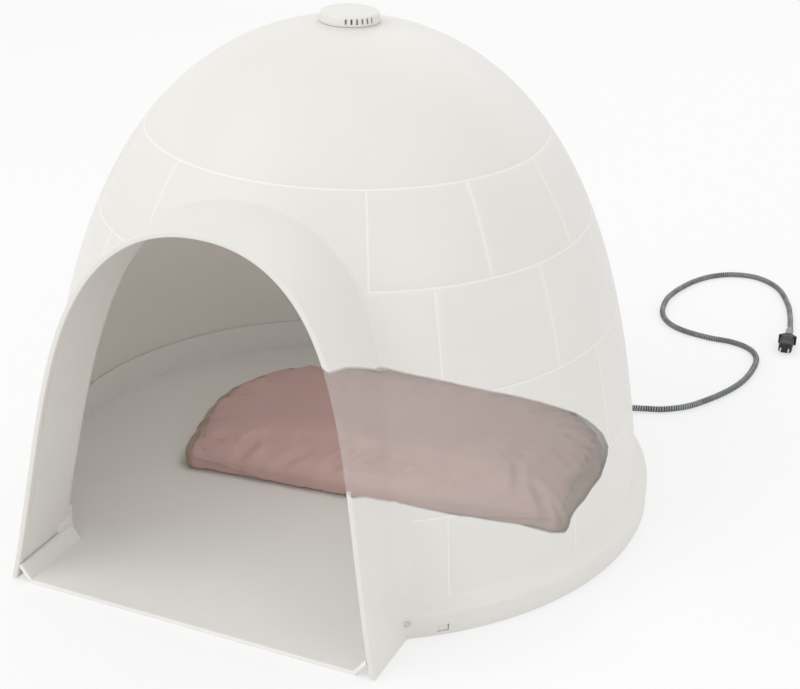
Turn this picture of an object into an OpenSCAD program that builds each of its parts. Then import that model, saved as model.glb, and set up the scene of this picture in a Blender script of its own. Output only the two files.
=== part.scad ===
// Igloo dog bed: a moulded igloo house made of two snapped halves, a roof vent that
// turns, and a heated half-moon cushion with a steel-wound supply lead.
// The origin is on the ground under the crown. X is to the right, the entrance tunnel
// points towards -Y and Z is up.

/* [Dome] */
// Outer diameter of the rim band
rim_d = 838; // [800:2:900]
// Height of the rim band above the ground
rim_h = 32; // [29:0.5:40]
// Width of the ledge between the band and the dome
ledge_w = 15; // [12:0.5:18]
// Climb of the ledge towards the dome
ledge_h = 8; // [5:0.5:12]
// Height of the dome's crown, as if it ran on under the vent
crown_z = 634; // [600:2:680]
// Wall of both mouldings
wall = 4; // [3.5:0.1:4.5]
// Share by which the dome's flanks draw in at mid height
dome_draw = 0.2; // [0.1:0.01:0.24]
// Gap between the ground and the lower edge of the upper moulding
shell_lift = 1; // [0.5:0.1:2]

/* [Entrance tunnel] */
// Clear width of the doorway at the ground
arch_w = 477; // [440:1:490]
// Clear height of the doorway
arch_h = 475; // [450:1:490]
// Share by which the arch's sides draw in at mid height
arch_draw = 0.437; // [0.38:0.001:0.45]
// Reach of the doorway's foot in front of the rim band
tunnel_reach = 14; // [10:0.5:30]
// Backward lean of the doorway per millimetre of height
tunnel_rake = 0.063; // [0.05:0.001:0.08]
// Extra set-back of the doorway's top
tunnel_bow = 17.6; // [10:0.1:24]
// Width of the bead around the doorway
bead_w = 6.7; // [6:0.1:9]
// Depth of the bead along the tunnel
bead_depth = 9; // [6:0.5:14]

/* [Floor pan] */
// Thickness of the floor
floor_t = 5; // [4:0.5:6]
// Height of the upstand inside the dome's foot
upstand_h = 50; // [40:1:60]
// Thickness of the upstand
upstand_t = 4; // [3:0.5:5]
// Gap between the upstand's top and the dome's foot round it
upstand_play = 0.8; // [0.5:0.1:2]
// Width of a sloped side beside the flat floor of the tunnel, up to the doorway's foot
side_w = 21.5; // [18:0.5:30]
// Height of the tunnel floor's sloped sides
side_h = 22; // [18:0.5:26]
// Length of the sloped sides
side_l = 108; // [98:2:150]
// Width of a sloped side's flat top
side_land = 4.4; // [3:0.1:6]
// Number of rib spacings in a full turn
rib_pitches = 24; // [18:1:30]
// Thickness of a rib
rib_t = 3; // [2:0.5:4]
// Play between the two mouldings
shell_play = 0.6; // [0.4:0.1:0.9]

/* [Fasteners] */
// Angle between a rim screw and the snap window beside it
snap_step = 6.1; // [5:0.1:8]
// Angle between a rear snap window and the X axis
rear_snap_angle = 66; // [62:0.5:78]
// Width of a snap window
snap_w = 14.5; // [12:0.5:17]
// Height of a snap window
snap_h = 9.5; // [8:0.5:11]
// Play round a snap tab in its window
snap_play = 0.7; // [0.4:0.1:1]
// Distance of a rim screw's axis from the tunnel's outer face
screw_inset = 3.8; // [3.7:0.1:6]
// Height of the rim screws above the ground
screw_z = 21.5; // [20:0.1:22]
// Diameter of a rim screw's shank
screw_d = 3.6; // [3:0.1:4]
// Diameter of a rim screw's head
screw_head_d = 8.6; // [7.5:0.1:9]
// Length of a rim screw's shank
screw_l = 13; // [10:0.5:14]
// Diameter of the round recess that holds a screw head
screw_recess_d = 9.6; // [9.4:0.1:10]
// Depth of the round recess
screw_recess = 2; // [1.5:0.1:2.4]

/* [Roof vent] */
// Diameter of the flat seat on the crown
seat_d = 84; // [84:1:96]
// Diameter of the hole in the crown
crown_hole_d = 66; // [64:0.5:68]
// Diameter of the collar's flange
collar_flange_d = 80; // [78:0.5:83]
// Thickness of the collar's flange
collar_flange_t = 2; // [1.5:0.1:3]
// Wall of the collar
collar_wall = 2.5; // [2:0.1:3]
// Height of the collar's windowed ring
collar_ring_h = 11; // [10.5:0.1:13]
// Play between the collar's neck and the crown hole
neck_play = 0.4; // [0.3:0.1:0.6]
// Reach of a collar barb below the shell's wall
barb_h = 4; // [3:0.5:6]
// Outer diameter of the cap
cap_d = 77; // [76.5:0.1:79]
// Wall of the cap
cap_wall = 2.2; // [1.8:0.1:2.5]
// Radius on the cap's upper edge
cap_round = 3; // [2.2:0.1:3.5]
// Running gap between the cap and the collar
cap_gap = 0.5; // [0.3:0.1:0.7]
// Number of slots in one group
slot_count = 6; // [4:1:6]
// Pitch of the slots in degrees
slot_pitch = 10.6; // [10:0.1:11]
// Width of a slot
slot_w = 2.6; // [2:0.1:3]
// Height of a slot
slot_h = 7.5; // [6:0.1:8]
// Angle of the middle of the front slot group
slot_middle = -46; // [-50:1:-40]
// Turn between open and closed in degrees
vent_turn = 60; // [58:1:64]
// Diameter of the cap's screw
vent_screw_d = 3.5; // [3:0.1:4]
// Diameter of the collar's hub
hub_d = 14; // [12:0.5:18]
// Thickness of hub and spokes
hub_t = 2.4; // [2:0.1:3]

/* [Cushion] */
// Gap between the cushion's side and the upstand, along its width
pad_side_gap = 30; // [23:1:67]
// Gap between the cushion's back and the upstand
pad_back_gap = 119; // [113:1:133]
// Distance from the straight front to the widest line
pad_widest = 95; // [80:1:110]
// Exponent of the curved back, where 2 is an ellipse
pad_back_power = 2.8; // [2.4:0.1:3]
// Exponent of the front, where a high value gives pinched corners
pad_front_power = 14; // [8:1:18]
// Inward pull of the front between its corners
pad_pull = 7; // [2:1:12]
// Height of the cover's seam above the floor
seam_h = 20; // [18:0.5:24]
// Height of the crown above the seam
pad_crown = 27; // [22:0.5:34]
// Inward draw of the sides at the floor
pad_draw = 12; // [6:1:14]
// Thickness of the cover
cover_t = 1.6; // [1.2:0.1:2]
// Clearance between the cushion's layers
layer_play = 0.3; // [0.2:0.05:0.5]
// Turn of the cushion on the floor
pad_turn = 6.9; // [0:0.1:8]
// Sideways place of the cushion's front edge
pad_x = 73; // [66:1:76]
// Place of the cushion's front edge along the house
pad_y = -70; // [-76:1:-68]

/* [Heater] */
// Thickness of the lower foam
base_foam_t = 8; // [7.5:0.1:9]
// Gap between the cover's edge and the lower foam
base_foam_gap = 5; // [3:0.5:8]
// Thickness of the heater's carrier sheet
sheet_t = 0.8; // [0.5:0.1:1.2]
// Inset of the carrier sheet from the lower foam's edge
sheet_inset = 25; // [15:1:40]
// Diameter of the heating wire
wire_d = 2; // [1.6:0.1:2.4]
// Number of rows of heating wire
wire_rows = 8; // [4:2:8]
// Distance between rows
wire_pitch = 24; // [20:1:25]
// Distance between a row's end and the cushion's side
wire_margin = 125; // [120:5:160]
// Length of a thermostat
stat_l = 20; // [16:1:26]
// Width of a thermostat
stat_w = 9; // [7:0.5:11]
// Thickness of a thermostat
stat_t = 4.5; // [3.5:0.1:5]
// Distance between the thermostats
stat_gap = 160; // [120:5:200]
// Length of the splice between lead and wire
splice_l = 34; // [28:1:40]
// Width of the splice
splice_w = 14; // [12.5:0.5:18]
// Thickness of the splice
splice_t = 6.5; // [6:0.1:7]
// Diameter of a lead wire inside the cushion
lead_d = 3; // [2.5:0.1:3.4]
// Distance between the lead wires
lead_pitch = 4.5; // [4:0.1:5]

/* [Lead and plug] */
// Diameter of the steel-wound lead
cord_d = 9.5; // [8.5:0.1:10]
// Diameter of the strain relief at the cover
gland_d = 17; // [15:0.5:18]
// Length of the strain relief outside the cover
gland_l = 30; // [24:1:32]
// Diameter of the strain relief's inner flange
gland_flange_d = 15; // [14:0.1:15.4]
// Diameter of the strain relief's neck in the cover
gland_neck_d = 12.5; // [11:0.1:13]
// Sideways place of the strain relief on the cushion's back
gland_x = -60; // [-70:1:-50]
// Thickness of the inner flange
gland_flange_t = 3; // [2:0.5:4]
// Outer diameter of the lead's end sleeves
ferrule_d = 12.5; // [11.5:0.1:14]
// Length of the lead's end sleeves
ferrule_l = 10; // [8:0.5:11]
// Width of the plug
plug_w = 22; // [20:0.5:26]
// Thickness of the plug
plug_t = 18; // [16:0.5:20]
// Length of the plug's body
plug_l = 41; // [34:0.5:46]
// Length of the plug's neck
plug_neck_l = 24; // [20:0.5:28]
// Length of a blade
blade_l = 16; // [14:0.5:18]
// Width of a blade
blade_w = 6.3; // [5.5:0.1:7]
// Thickness of a blade
blade_t = 1.5; // [1.2:0.1:2]
// Distance between the blades
blade_gap = 12.7; // [11:0.1:13]
// Width of the cord notch in both mouldings
notch_w = 18; // [17:0.5:22]
// Height of the cord notch in the rim band
notch_h = 22; // [20:0.5:24]

/* [Hidden] */
$fn = 96;
past = 1; // reach of a cut beyond the face that it opens
below = 20; // depth of the open-bottomed cuts under the ground

// House, derived
rim_r = rim_d/2;
foot_r = rim_r - ledge_w; // dome's foot
ledge_top = rim_h + ledge_h;
dome_power = 2.3;
seat_r = seat_d/2;
seat_angle = acos(seat_r/foot_r);
foot_angle = 2;
seat_z = dome_point(seat_angle, 0).y;
ceiling_z = seat_z - wall;
ledge_seat_z = rim_h - wall; // flat under the ledge that rests on the ribs
ledge_seat_w = 4;
pan_r = rim_r - wall - shell_play;
upstand_r = dome_at(upstand_h, wall) - upstand_play;
upstand_in = upstand_r - upstand_t;
post_r = pan_r - 0.2;
arch_power_x = 2/2.156;
arch_power_z = 2/2.636;
arch_steps = 14;
tunnel_y = rim_r + tunnel_reach; // doorway's foot in front of the crown
tunnel_root = foot_r/2; // inner end of the tunnel's prism, inside the dome's cavity
tunnel_floor_w = arch_w/2 - side_w; // half width of the tunnel's flat floor
doorway_r = arch_half(side_h) - shell_play; // outer face of the pan's sloped sides
pan_front = tunnel_y - 2;
screw_angle = acos((arch_half(screw_z) + bead_w + screw_inset)/rim_r);
snap_angle = screw_angle - snap_step;
first_rib = 94 - screw_angle; // angle from the tunnel's axis before which no rib stands
notch_angle = 50;

// Vent, derived
neck_r = crown_hole_d/2 - neck_play;
ring_z = seat_z + collar_flange_t;
ring_top = ring_z + collar_ring_h;
ring_r = cap_d/2 - cap_wall - cap_gap; // outer face of the windowed ring
cap_z = ring_z + cap_gap;
cap_ceiling = ring_top + cap_gap;
cap_top = cap_ceiling + cap_wall;
stem_r = hub_d/2 - 2;
screw_reach = collar_ring_h - 1;
slot_z = ring_z + collar_ring_h/2;
window_angle = slot_pitch*(slot_count - 1) + 6;
lug_angle = 8;
lug_r = ring_r - collar_wall - cap_gap;
lug_depth = 3;
lug_middle = slot_middle + 90;

// Cushion, derived
pad_w = 2*(upstand_in - pad_x - pad_side_gap);
pad_depth = upstand_in - pad_back_gap - pad_y;
pad_mid = 0.45*pad_depth; // centre of the cushion's outline behind its front
floor_z = floor_t;
seam_z = floor_z + seam_h;
pad_points = 40;
crown_steps = 8;
crown_power_side = 3.4;
crown_power_up = 1.9;
foam_z = floor_z + cover_t;
sheet_z = foam_z + base_foam_t;
wire_z = sheet_z + sheet_t + wire_d/2;
core_z = wire_z + wire_d/2;
gland_z = 14.5; // height of the lead's axis at the cushion
splice_y = 0.74*pad_depth; // where the splice sits, behind the front edge
splice_top = core_z - layer_play;
wire_row_l = pad_w - 2*wire_margin;
wire_end_gap = splice_w/2;
wire_bend = wire_pitch/2;
first_row_y = splice_y - wire_end_gap/2 - wire_rows*wire_pitch;
return_x = wire_row_l/2 + wire_pitch + 4;
foam_inset = pad_draw + cover_t + base_foam_gap;
gland_flange_y = pad_depth - pad_draw - cover_t - layer_play + 1.5;
stat_y = pad_mid - wire_pitch/2;
zip_first = 108; // the closure's ends, as angles of the outline
zip_last = 135;
side_heights = [seam_z, (seam_z + core_z)/2, core_z, (core_z + foam_z)/2];
zip_low = side_heights[3];
zip_high = side_heights[2];
zip_tape = 1.2;
zip_step = 360/pad_points;
pull_t = 1.6;

// Lead route inside the dome and on the ground, laid by hand round a rim band of one size
// and drawn out or in with the house: [x, y, height of the axis]
route_rim_d = 838;
route_share = rim_d/route_rim_d;
gland_start = pad_edge_y(gland_x) + layer_play; // outer face of the cover at the strain relief
gland_exit = pad_place([gland_x, gland_start + gland_l + ferrule_l, gland_z]);
gland_way = [-sin(pad_turn), cos(pad_turn), 0];
plug_start = route_place([468, 740, 9]);
plug_angle = -84;
plug_way = [cos(plug_angle), sin(plug_angle), 0];
lead_points = [
    [-29, 342, 12.5], [-12, 358, 10.5], [12, 364, 9.8], [45, 364, 9.8], [80, 358, 9.8], [115, 346, 9.8],
    [147, 330, 9.8], [173, 313, 9.8], [196, 298, 9.8], [210, 292, 9.8], [225, 290, 9.8], [240, 293, 9.8],
    [255, 304, 9.8], [269, 319, 9.8], [288, 337, 8], [309, 352, 6], [332, 363, 5], [357, 374, 4.8],
    [388, 402, 4.8], [415, 449, 4.8], [432, 490, 4.8], [442, 530, 4.8], [445, 575, 4.8], [441, 615, 4.8],
    [424, 645, 4.8], [393, 660, 4.8], [351, 660, 4.8], [306, 669, 4.8], [275, 690, 4.8], [255, 727, 4.8],
    [247, 780, 4.8], [250, 818, 4.8], [258, 853, 4.8], [270, 887, 4.8], [292, 923, 4.8], [326, 949, 4.8],
    [369, 952, 4.8], [410, 920, 4.8], [440, 858, 4.8], [455, 806, 5.2], [463, 768, 7.2]
];
cord_route = concat(
    [gland_exit, gland_exit + gland_way*cord_d],
    [for (p = lead_points) route_place(p)],
    [plug_start - plug_way*cord_d, plug_start]
);
cord_sides = 10;
cord_limit = 24; // longest stretch without a middle point
echo(lead_length = route_length(smooth(cord_route, cord_limit)));

// Point of the dome's outline at an angle from foot (0) to crown (90), moved in by a depth:
// radius = foot*cos(a)*(1 - draw*t*(1 - t)), height share t = sin(a)^(2/power)
function dome_point(a, depth) =
    let (t = pow(sin(a), 2/dome_power))
    [(foot_r - depth)*cos(a)*(1 - dome_draw*t*(1 - t)), rim_h + 1 + (crown_z - depth - rim_h - 1)*t];

// Radius of the same outline at a height, near the foot
function dome_at(z, depth) =
    let (t = (z - rim_h - 1)/(crown_z - depth - rim_h - 1))
    dome_point(asin(pow(t, dome_power/2)), depth).x;

// Dome's outline between two angles
function dome_line(depth, first, last, steps) =
    [for (i = [0:steps]) dome_point(first + (last - first)*i/steps, depth)];

// Point of the doorway's inner edge: half width W*cos(a)^p*(1 - draw*t*(1 - t)), height H*t
function arch_point(a) =
    let (t = pow(sin(a), arch_power_z))
    [arch_w/2*pow(cos(a), arch_power_x)*(1 - arch_draw*t*(1 - t)), arch_h*t];

// Half width of the doorway at a height
function arch_half(z) = arch_point(asin(pow(z/arch_h, 1/arch_power_z))).x;

// The same edge moved outwards by a distance
function arch_offset(a, out) =
    let (p = arch_point(a), d = arch_point(min(a + 1, 90)) - arch_point(max(a - 1, 0)))
    p + out*[d.y, -d.x]/norm(d);

// Whole arch outline, closed under the ground
function arch_outline(out) =
    let (half = [for (i = [0:arch_steps]) arch_offset(90*i/arch_steps, out)])
    concat(
        [[-half[0].x, -below], [half[0].x, -below]],
        half,
        [for (i = [arch_steps - 1:-1:0]) [-half[i].x, half[i].y]]
    );

// Doorway's set-back at a height
function doorway_y(z) = -tunnel_y + tunnel_rake*z + tunnel_bow*pow(z/arch_h, 4);

// Outline of the cushion in its own frame, front edge on the X axis, widest line at y = pad_widest
function pad_edge(a) =
    let (
        back = sin(a) >= 0,
        power = 2/(back ? pad_back_power : pad_front_power),
        reach = back ? pad_depth - pad_widest : pad_widest,
        x = sign(cos(a))*pow(abs(cos(a)), power)*pad_w/2,
        y = sign(sin(a))*pow(abs(sin(a)), power)*reach,
        pull = back ? 0 : pad_pull*(1 - pow(2*x/pad_w, 2))
    )
    [x, pad_widest + y + pull];

// Back edge of the outline at a sideways place
function pad_edge_y(x) =
    pad_widest + (pad_depth - pad_widest)*pow(1 - pow(2*abs(x)/pad_w, pad_back_power), 1/pad_back_power);

// Point of the outline scaled towards the middle and moved in by a depth
function pad_point(a, share, depth, z) =
    let (d = pad_edge(a) - [0, pad_mid], p = d*share*(1 - depth/norm(d)))
    [p.x, p.y + pad_mid, z];

function pad_ring(share, depth, z) = [for (i = [0:pad_points - 1]) pad_point(360*i/pad_points, share, depth, z)];

function pad_outline(depth) = [for (p = pad_ring(1, depth, 0)) [p.x, p.y]];

// Rings of the crown from the seam up: share = cos(a)^(2/n), height = crown*sin(a)^(2/m)
function crown_rings(depth) =
    [for (i = [0:crown_steps - 1])
        let (a = 90*i/crown_steps, climb = pow(sin(a), 2/crown_power_up))
        pad_ring(pow(cos(a), 2/crown_power_side), depth, seam_z + (pad_crown - depth)*climb)];

// Inward draw of the sides at a height below the seam
function side_draw(z) = pad_draw*pow((seam_z - z)/seam_h, 2);

function side_rings(depth, heights) = [for (z = heights) pad_ring(1, depth + side_draw(z), z)];

// Place of a point of the cushion's frame in the house
function pad_place(p) =
    [pad_x + p.x*cos(pad_turn) - p.y*sin(pad_turn), pad_y + p.x*sin(pad_turn) + p.y*cos(pad_turn), p.z];

// Place of a route point in a house of this size
function route_place(p) = [p.x*route_share, p.y*route_share, p.z];

// Triangles between stacked rings of n points; flip turns the faces round
function band_faces(rows, n) =
    [for (r = [0:rows - 2], i = [0:n - 1], side = [0, 1])
        let (a = r*n + i, b = r*n + (i + 1)%n, c = a + n, d = b + n)
        side == 0 ? [a, c, b] : [b, c, d]];

function fan_faces(first, n, pole, up) =
    [for (i = [0:n - 1])
        let (a = first + i, b = first + (i + 1)%n)
        up ? [a, pole, b] : [b, pole, a]];

// Ring of points round a route, square to its direction there
function route_ring(route, i, r, sides) =
    let (
        way = i == 0 ? unit(route[1] - route[0])
            : i == len(route) - 1 ? unit(route[i] - route[i - 1])
            : unit(unit(route[i + 1] - route[i]) + unit(route[i] - route[i - 1])),
        side = unit(cross([0, 0, 1], way)),
        top = cross(way, side)
    )
    [for (k = [0:sides - 1]) route[i] + r*(cos(360*(k + 0.5)/sides)*side + sin(360*(k + 0.5)/sides)*top)];

function unit(v) = v/norm(v);

// Length of a route
function route_length(route, i = 1) =
    i == len(route) ? 0 : norm(route[i] - route[i - 1]) + route_length(route, i + 1);

// Places on a smooth curve through the points of a route
function smooth_point(p0, p1, p2, p3, t) =
    0.5*(2*p1 + (p2 - p0)*t + (2*p0 - 5*p1 + 4*p2 - p3)*t*t + (3*p1 - p0 - 3*p2 + p3)*t*t*t);

// The route with a middle point added on the curve of each stretch longer than a limit
function smooth(route, limit) =
    let (n = len(route))
    [for (i = [0:n - 1], t = [0, 0.5])
        if (t == 0 || (i < n - 1 && norm(route[min(i + 1, n - 1)] - route[i]) > limit))
            smooth_point(route[max(i - 1, 0)], route[i], route[min(i + 1, n - 1)], route[min(i + 2, n - 1)], t)];

// Route of the heating wire in the cushion's frame: from the splice through the rows and back
function wire_bend_points(x, y, turn) =
    [for (a = [0:30:180]) [x + turn*wire_bend*sin(a), y + wire_bend*cos(a), wire_z]];

function heating_route() =
    let (
        x = wire_row_l/2,
        back_y = splice_y + wire_end_gap/2,
        rows = [for (i = [0:wire_rows - 1])
            wire_bend_points((i % 2 == 0 ? 1 : -1)*x, splice_y - wire_end_gap/2 - wire_bend - i*wire_pitch,
                i % 2 == 0 ? 1 : -1)]
    )
    concat(
        [[splice_l/2, splice_y - wire_end_gap/2, wire_z]],
        [for (row = rows, p = row) p],
        [for (a = [0:30:90]) [return_x - wire_bend + wire_bend*sin(a), first_row_y + wire_bend*(1 - cos(a)), wire_z]],
        [[return_x, back_y - 45, wire_z], [return_x - 40, back_y - 6, wire_z], [return_x - 52, back_y, wire_z]],
        [[splice_l/2, back_y, wire_z]]
    );

// Closed form from rings that are stacked upwards, ending in a point at each end
module stacked_form(rings, bottom, top) {
    n = len(rings[0]);
    rows = len(rings);
    polyhedron(
        points = concat([for (ring = rings, p = ring) p], [bottom, top]),
        faces = concat(
            band_faces(rows, n),
            fan_faces(0, n, rows*n, false),
            fan_faces((rows - 1)*n, n, rows*n + 1, true)
        )
    );
}

// Round tube along a route, with flat ends
module tube(route, d, sides) {
    rings = [for (i = [0:len(route) - 1]) route_ring(route, i, d/2, sides)];
    stacked_form(rings, route[0], route[len(route) - 1]);
}

// Places its children on the rim band at an angle from the X axis
module at_rim(angle, r) {
    rotate([0, 0, angle])
        translate([r, 0, 0])
            children();
}

module both_sides(angle) {
    for (a = [-angle, angle - 180])
        rotate([0, 0, a])
            children();
}

module in_cushion() {
    translate([pad_x, pad_y, 0])
        rotate([0, 0, pad_turn])
            children();
}

// Straight prism of an outline that stands in the XZ plane, from y0 back to y1
module along_tunnel(outline, y0, y1) {
    translate([0, y1, 0])
        rotate([90, 0, 0])
            linear_extrude(y1 - y0)
                polygon(outline);
}

// Block with the doorway's lean, from the doorway's face plus a set-back to the tunnel's root
module doorway_block(set_back, z0, half_w) {
    heights = [for (i = [0:8]) z0 + (arch_h + bead_w + past - z0)*i/8];
    rotate([90, 0, 90])
        translate([0, 0, -half_w])
            linear_extrude(2*half_w)
                polygon(concat(
                    [for (z = heights) [doorway_y(z) + set_back, z]],
                    [[-tunnel_root, heights[8]], [-tunnel_root, z0]]
                ));
}

module dome_outer() {
    rotate_extrude()
        polygon(concat(
            [[0, shell_lift], [rim_r, shell_lift], [rim_r, rim_h - 1.5], [rim_r - 1.5, rim_h]],
            [[foot_r + 2.5, ledge_top - 1], [foot_r, ledge_top + 1.5]],
            dome_line(0, foot_angle, seat_angle, 22),
            [[0, seat_z]]
        ));
}

module dome_cavity() {
    rotate_extrude()
        polygon(concat(
            [[0, -below], [rim_r - wall, -below], [rim_r - wall, ledge_seat_z]],
            [[rim_r - wall - ledge_seat_w, ledge_seat_z], [foot_r - wall, ledge_top - wall]],
            dome_line(wall, foot_angle, seat_angle - 2, 20),
            [[seat_r, ceiling_z], [0, ceiling_z]]
        ));
}

module tunnel_body() {
    intersection() {
        along_tunnel(arch_outline(bead_w), -tunnel_y - past, -tunnel_root);
        doorway_block(0, shell_lift, arch_w/2 + 2*bead_w);
    }
}

// Doorway opening: the bead's edge in front, a wider bore behind it
module tunnel_bore() {
    along_tunnel(arch_outline(0), -tunnel_y - past, -tunnel_root - past);
    intersection() {
        along_tunnel(arch_outline(bead_w - wall), -tunnel_y - past, -tunnel_root - past);
        doorway_block(bead_depth, -below, arch_w/2 + 2*bead_w);
    }
}

module rim_screw_cut() {
    at_rim(0, rim_r)
        translate([0, 0, screw_z])
            rotate([0, -90, 0]) {
                translate([0, 0, -past])
                    cylinder(h = screw_recess + past, d = screw_recess_d);
                cylinder(h = 2*wall, d = screw_d + 2*snap_play);
            }
}

module cord_notch(r0, r1, z0, z1) {
    rotate([0, 0, notch_angle])
        translate([r0, -notch_w/2, z0])
            cube([r1 - r0, notch_w, z1 - z0]);
}

module dome_shell() {
    color([0.93, 0.92, 0.90])
        difference() {
            union() {
                dome_outer();
                tunnel_body();
            }
            dome_cavity();
            tunnel_bore();
            translate([0, 0, ceiling_z - past])
                cylinder(h = wall + 2*past, d = crown_hole_d);
            for (angle = [snap_angle, -rear_snap_angle])
                both_sides(angle)
                    translate([rim_r - wall - past, -snap_w/2, floor_z])
                        cube([wall + 2*past, snap_w, snap_h]);
            both_sides(screw_angle)
                rim_screw_cut();
            cord_notch(rim_r - wall - past, rim_r + past, -below, notch_h);
        }
}

// Sloped side of the tunnel's floor, drawn for the right side and mirrored: a strip that
// overhangs in front of the round plate and is solid on it
module pan_side() {
    lean = doorway_r - side_land - tunnel_floor_w;
    outline = [
        [tunnel_floor_w - floor_t, 0], [tunnel_floor_w + floor_t, 0],
        [doorway_r, side_h - floor_t + past], [doorway_r, side_h],
        [tunnel_floor_w + lean, side_h], [tunnel_floor_w, floor_t], [tunnel_floor_w - floor_t, floor_t]
    ];
    solid_outline = [
        [tunnel_floor_w, 0], [doorway_r, 0], [doorway_r, side_h],
        [tunnel_floor_w + lean, side_h], [tunnel_floor_w, floor_t]
    ];
    solid_y = -sqrt(pow(pan_r, 2) - pow(doorway_r, 2));
    along_tunnel(outline, -pan_front, -pan_front + side_l);
    along_tunnel(solid_outline, solid_y + past, -pan_front + side_l);
}

// Way through the tunnel between the sloped sides, kept free from a height up
module tunnel_way(z0) {
    translate([-doorway_r + 2, -pan_front, z0])
        cube([2*doorway_r - 4, pan_front, upstand_h]);
}

// Post of the pan with a nose that snaps into a window of the rim band
module snap_post() {
    translate([post_r - 9, -snap_w/2, 0])
        cube([9, snap_w, floor_t + snap_h]);
    translate([post_r - past, -snap_w/2 + snap_play, floor_t + snap_play])
        cube([past + wall - 1, snap_w - 2*snap_play, snap_h - 2*snap_play]);
}

module screw_post() {
    difference() {
        translate([post_r - screw_l, -7, 0])
            cube([screw_l, 14, ledge_seat_z]);
        translate([rim_r, 0, screw_z])
            rotate([0, -90, 0])
                cylinder(h = screw_l + 2*wall, d = screw_d + 0.1);
    }
}

module pan_ribs() {
    step = 360/rib_pitches;
    for (i = [0:rib_pitches - 1])
        let (a = -90 + i*step)
            if (a + 90 > first_rib && a + 90 < 360 - first_rib && abs(a - notch_angle) > 4)
                rotate([0, 0, a])
                    translate([upstand_r - 1, -rib_t/2, 0])
                        cube([pan_r - 0.1 - upstand_r + 1, rib_t, ledge_seat_z]);
}

module floor_pan() {
    color([0.86, 0.85, 0.82])
        difference() {
            union() {
                cylinder(h = floor_t, r = pan_r);
                translate([-tunnel_floor_w, -pan_front, 0])
                    cube([2*tunnel_floor_w, pan_front - tunnel_root, floor_t]);
                pan_side();
                mirror([1, 0, 0])
                    pan_side();
                difference() {
                    cylinder(h = upstand_h, r = upstand_r);
                    translate([0, 0, -past])
                        cylinder(h = upstand_h + 2*past, r = upstand_in);
                    tunnel_way(floor_t);
                }
                pan_ribs();
                for (angle = [snap_angle, -rear_snap_angle])
                    both_sides(angle)
                        snap_post();
                both_sides(screw_angle)
                    screw_post();
            }
            tunnel_way(side_h);
            cord_notch(upstand_in - past, upstand_r + past, floor_t, upstand_h + past);
        }
}

module rim_screws() {
    color([0.62, 0.63, 0.64])
        both_sides(screw_angle)
            translate([rim_r - screw_recess, 0, screw_z])
                rotate([0, 90, 0]) {
                    cylinder(h = screw_recess - 0.4, d = screw_head_d);
                    translate([0, 0, -screw_l])
                        cylinder(h = screw_l + past, d = screw_d);
                }
}

module ring(r_out, r_in, z0, z1) {
    translate([0, 0, z0])
        difference() {
            cylinder(h = z1 - z0, r = r_out);
            translate([0, 0, -past])
                cylinder(h = z1 - z0 + 2*past, r = r_in);
        }
}

// Part of a ring between two angles
module ring_arc(r_out, r_in, z0, z1, a0, a1) {
    rotate([0, 0, a0])
        translate([0, 0, z0])
            rotate_extrude(angle = a1 - a0)
                translate([r_in, 0])
                    square([r_out - r_in, z1 - z0]);
}

module vent_collar() {
    barb_r = crown_hole_d/2 + 2;
    stop_gap = (lug_angle + 8)/2 + 1;
    color([0.92, 0.91, 0.89]) {
        difference() {
            union() {
                ring(collar_flange_d/2, neck_r - collar_wall, seat_z, ring_z);
                ring(neck_r, neck_r - collar_wall, ceiling_z - barb_h, seat_z);
                ring(ring_r, ring_r - collar_wall, ring_z, ring_top);
                for (a = [0:90:270])
                    ring_arc(barb_r, neck_r - 0.5, ceiling_z - barb_h, ceiling_z, a + 10, a + 34);
                for (a = [0:120:240])
                    rotate([0, 0, a + lug_middle + 30])
                        translate([0, -3, seat_z])
                            cube([neck_r - collar_wall/2, 6, hub_t]);
                translate([0, 0, seat_z])
                    cylinder(h = hub_t, d = hub_d);
                for (a = [lug_middle - stop_gap, lug_middle + vent_turn + stop_gap])
                    ring_arc(ring_r - collar_wall/2, lug_r - lug_depth, ring_z, ring_top - cap_gap, a - 4, a + 4);
            }
            for (a = [slot_middle, slot_middle + 180])
                ring_arc(ring_r + past, ring_r - collar_wall - past, slot_z - slot_h/2, slot_z + slot_h/2,
                    a - window_angle/2, a + window_angle/2);
            translate([0, 0, seat_z - past])
                cylinder(h = hub_t + 2*past, d = vent_screw_d + 0.2);
        }
    }
}

module vent_cap() {
    color([0.94, 0.93, 0.91]) {
        difference() {
            union() {
                rotate_extrude()
                    polygon(concat(
                        [[cap_d/2 - cap_wall, cap_z], [cap_d/2, cap_z]],
                        [for (a = [0:15:90])
                            [cap_d/2 - cap_round*(1 - cos(a)), cap_top - cap_round*(1 - sin(a))]],
                        [[0, cap_top], [0, cap_ceiling], [cap_d/2 - cap_wall, cap_ceiling]]
                    ));
                translate([0, 0, seat_z + hub_t + cap_gap/2])
                    cylinder(h = cap_ceiling - seat_z - hub_t - cap_gap/2 + past, r = stem_r);
                ring_arc(lug_r, lug_r - lug_depth, ring_z + 2*cap_gap, cap_ceiling + past,
                    lug_middle - lug_angle/2, lug_middle + lug_angle/2);
            }
            for (side = [0, 180], i = [0:slot_count - 1])
                rotate([0, 0, slot_middle + side + (i - (slot_count - 1)/2)*slot_pitch])
                    translate([cap_d/2 - cap_wall - past, -slot_w/2, slot_z - slot_h/2])
                        cube([cap_wall + 2*past, slot_w, slot_h]);
            translate([0, 0, seat_z])
                cylinder(h = screw_reach + 0.5, d = vent_screw_d + 0.04);
        }
    }
}

module vent_screw() {
    color([0.62, 0.63, 0.64]) {
        translate([0, 0, seat_z - 1])
            cylinder(h = screw_reach + 1, d = vent_screw_d);
        translate([0, 0, seat_z - 1 - 2.4])
            cylinder(h = 2.4, d = 2*vent_screw_d);
    }
}

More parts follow.
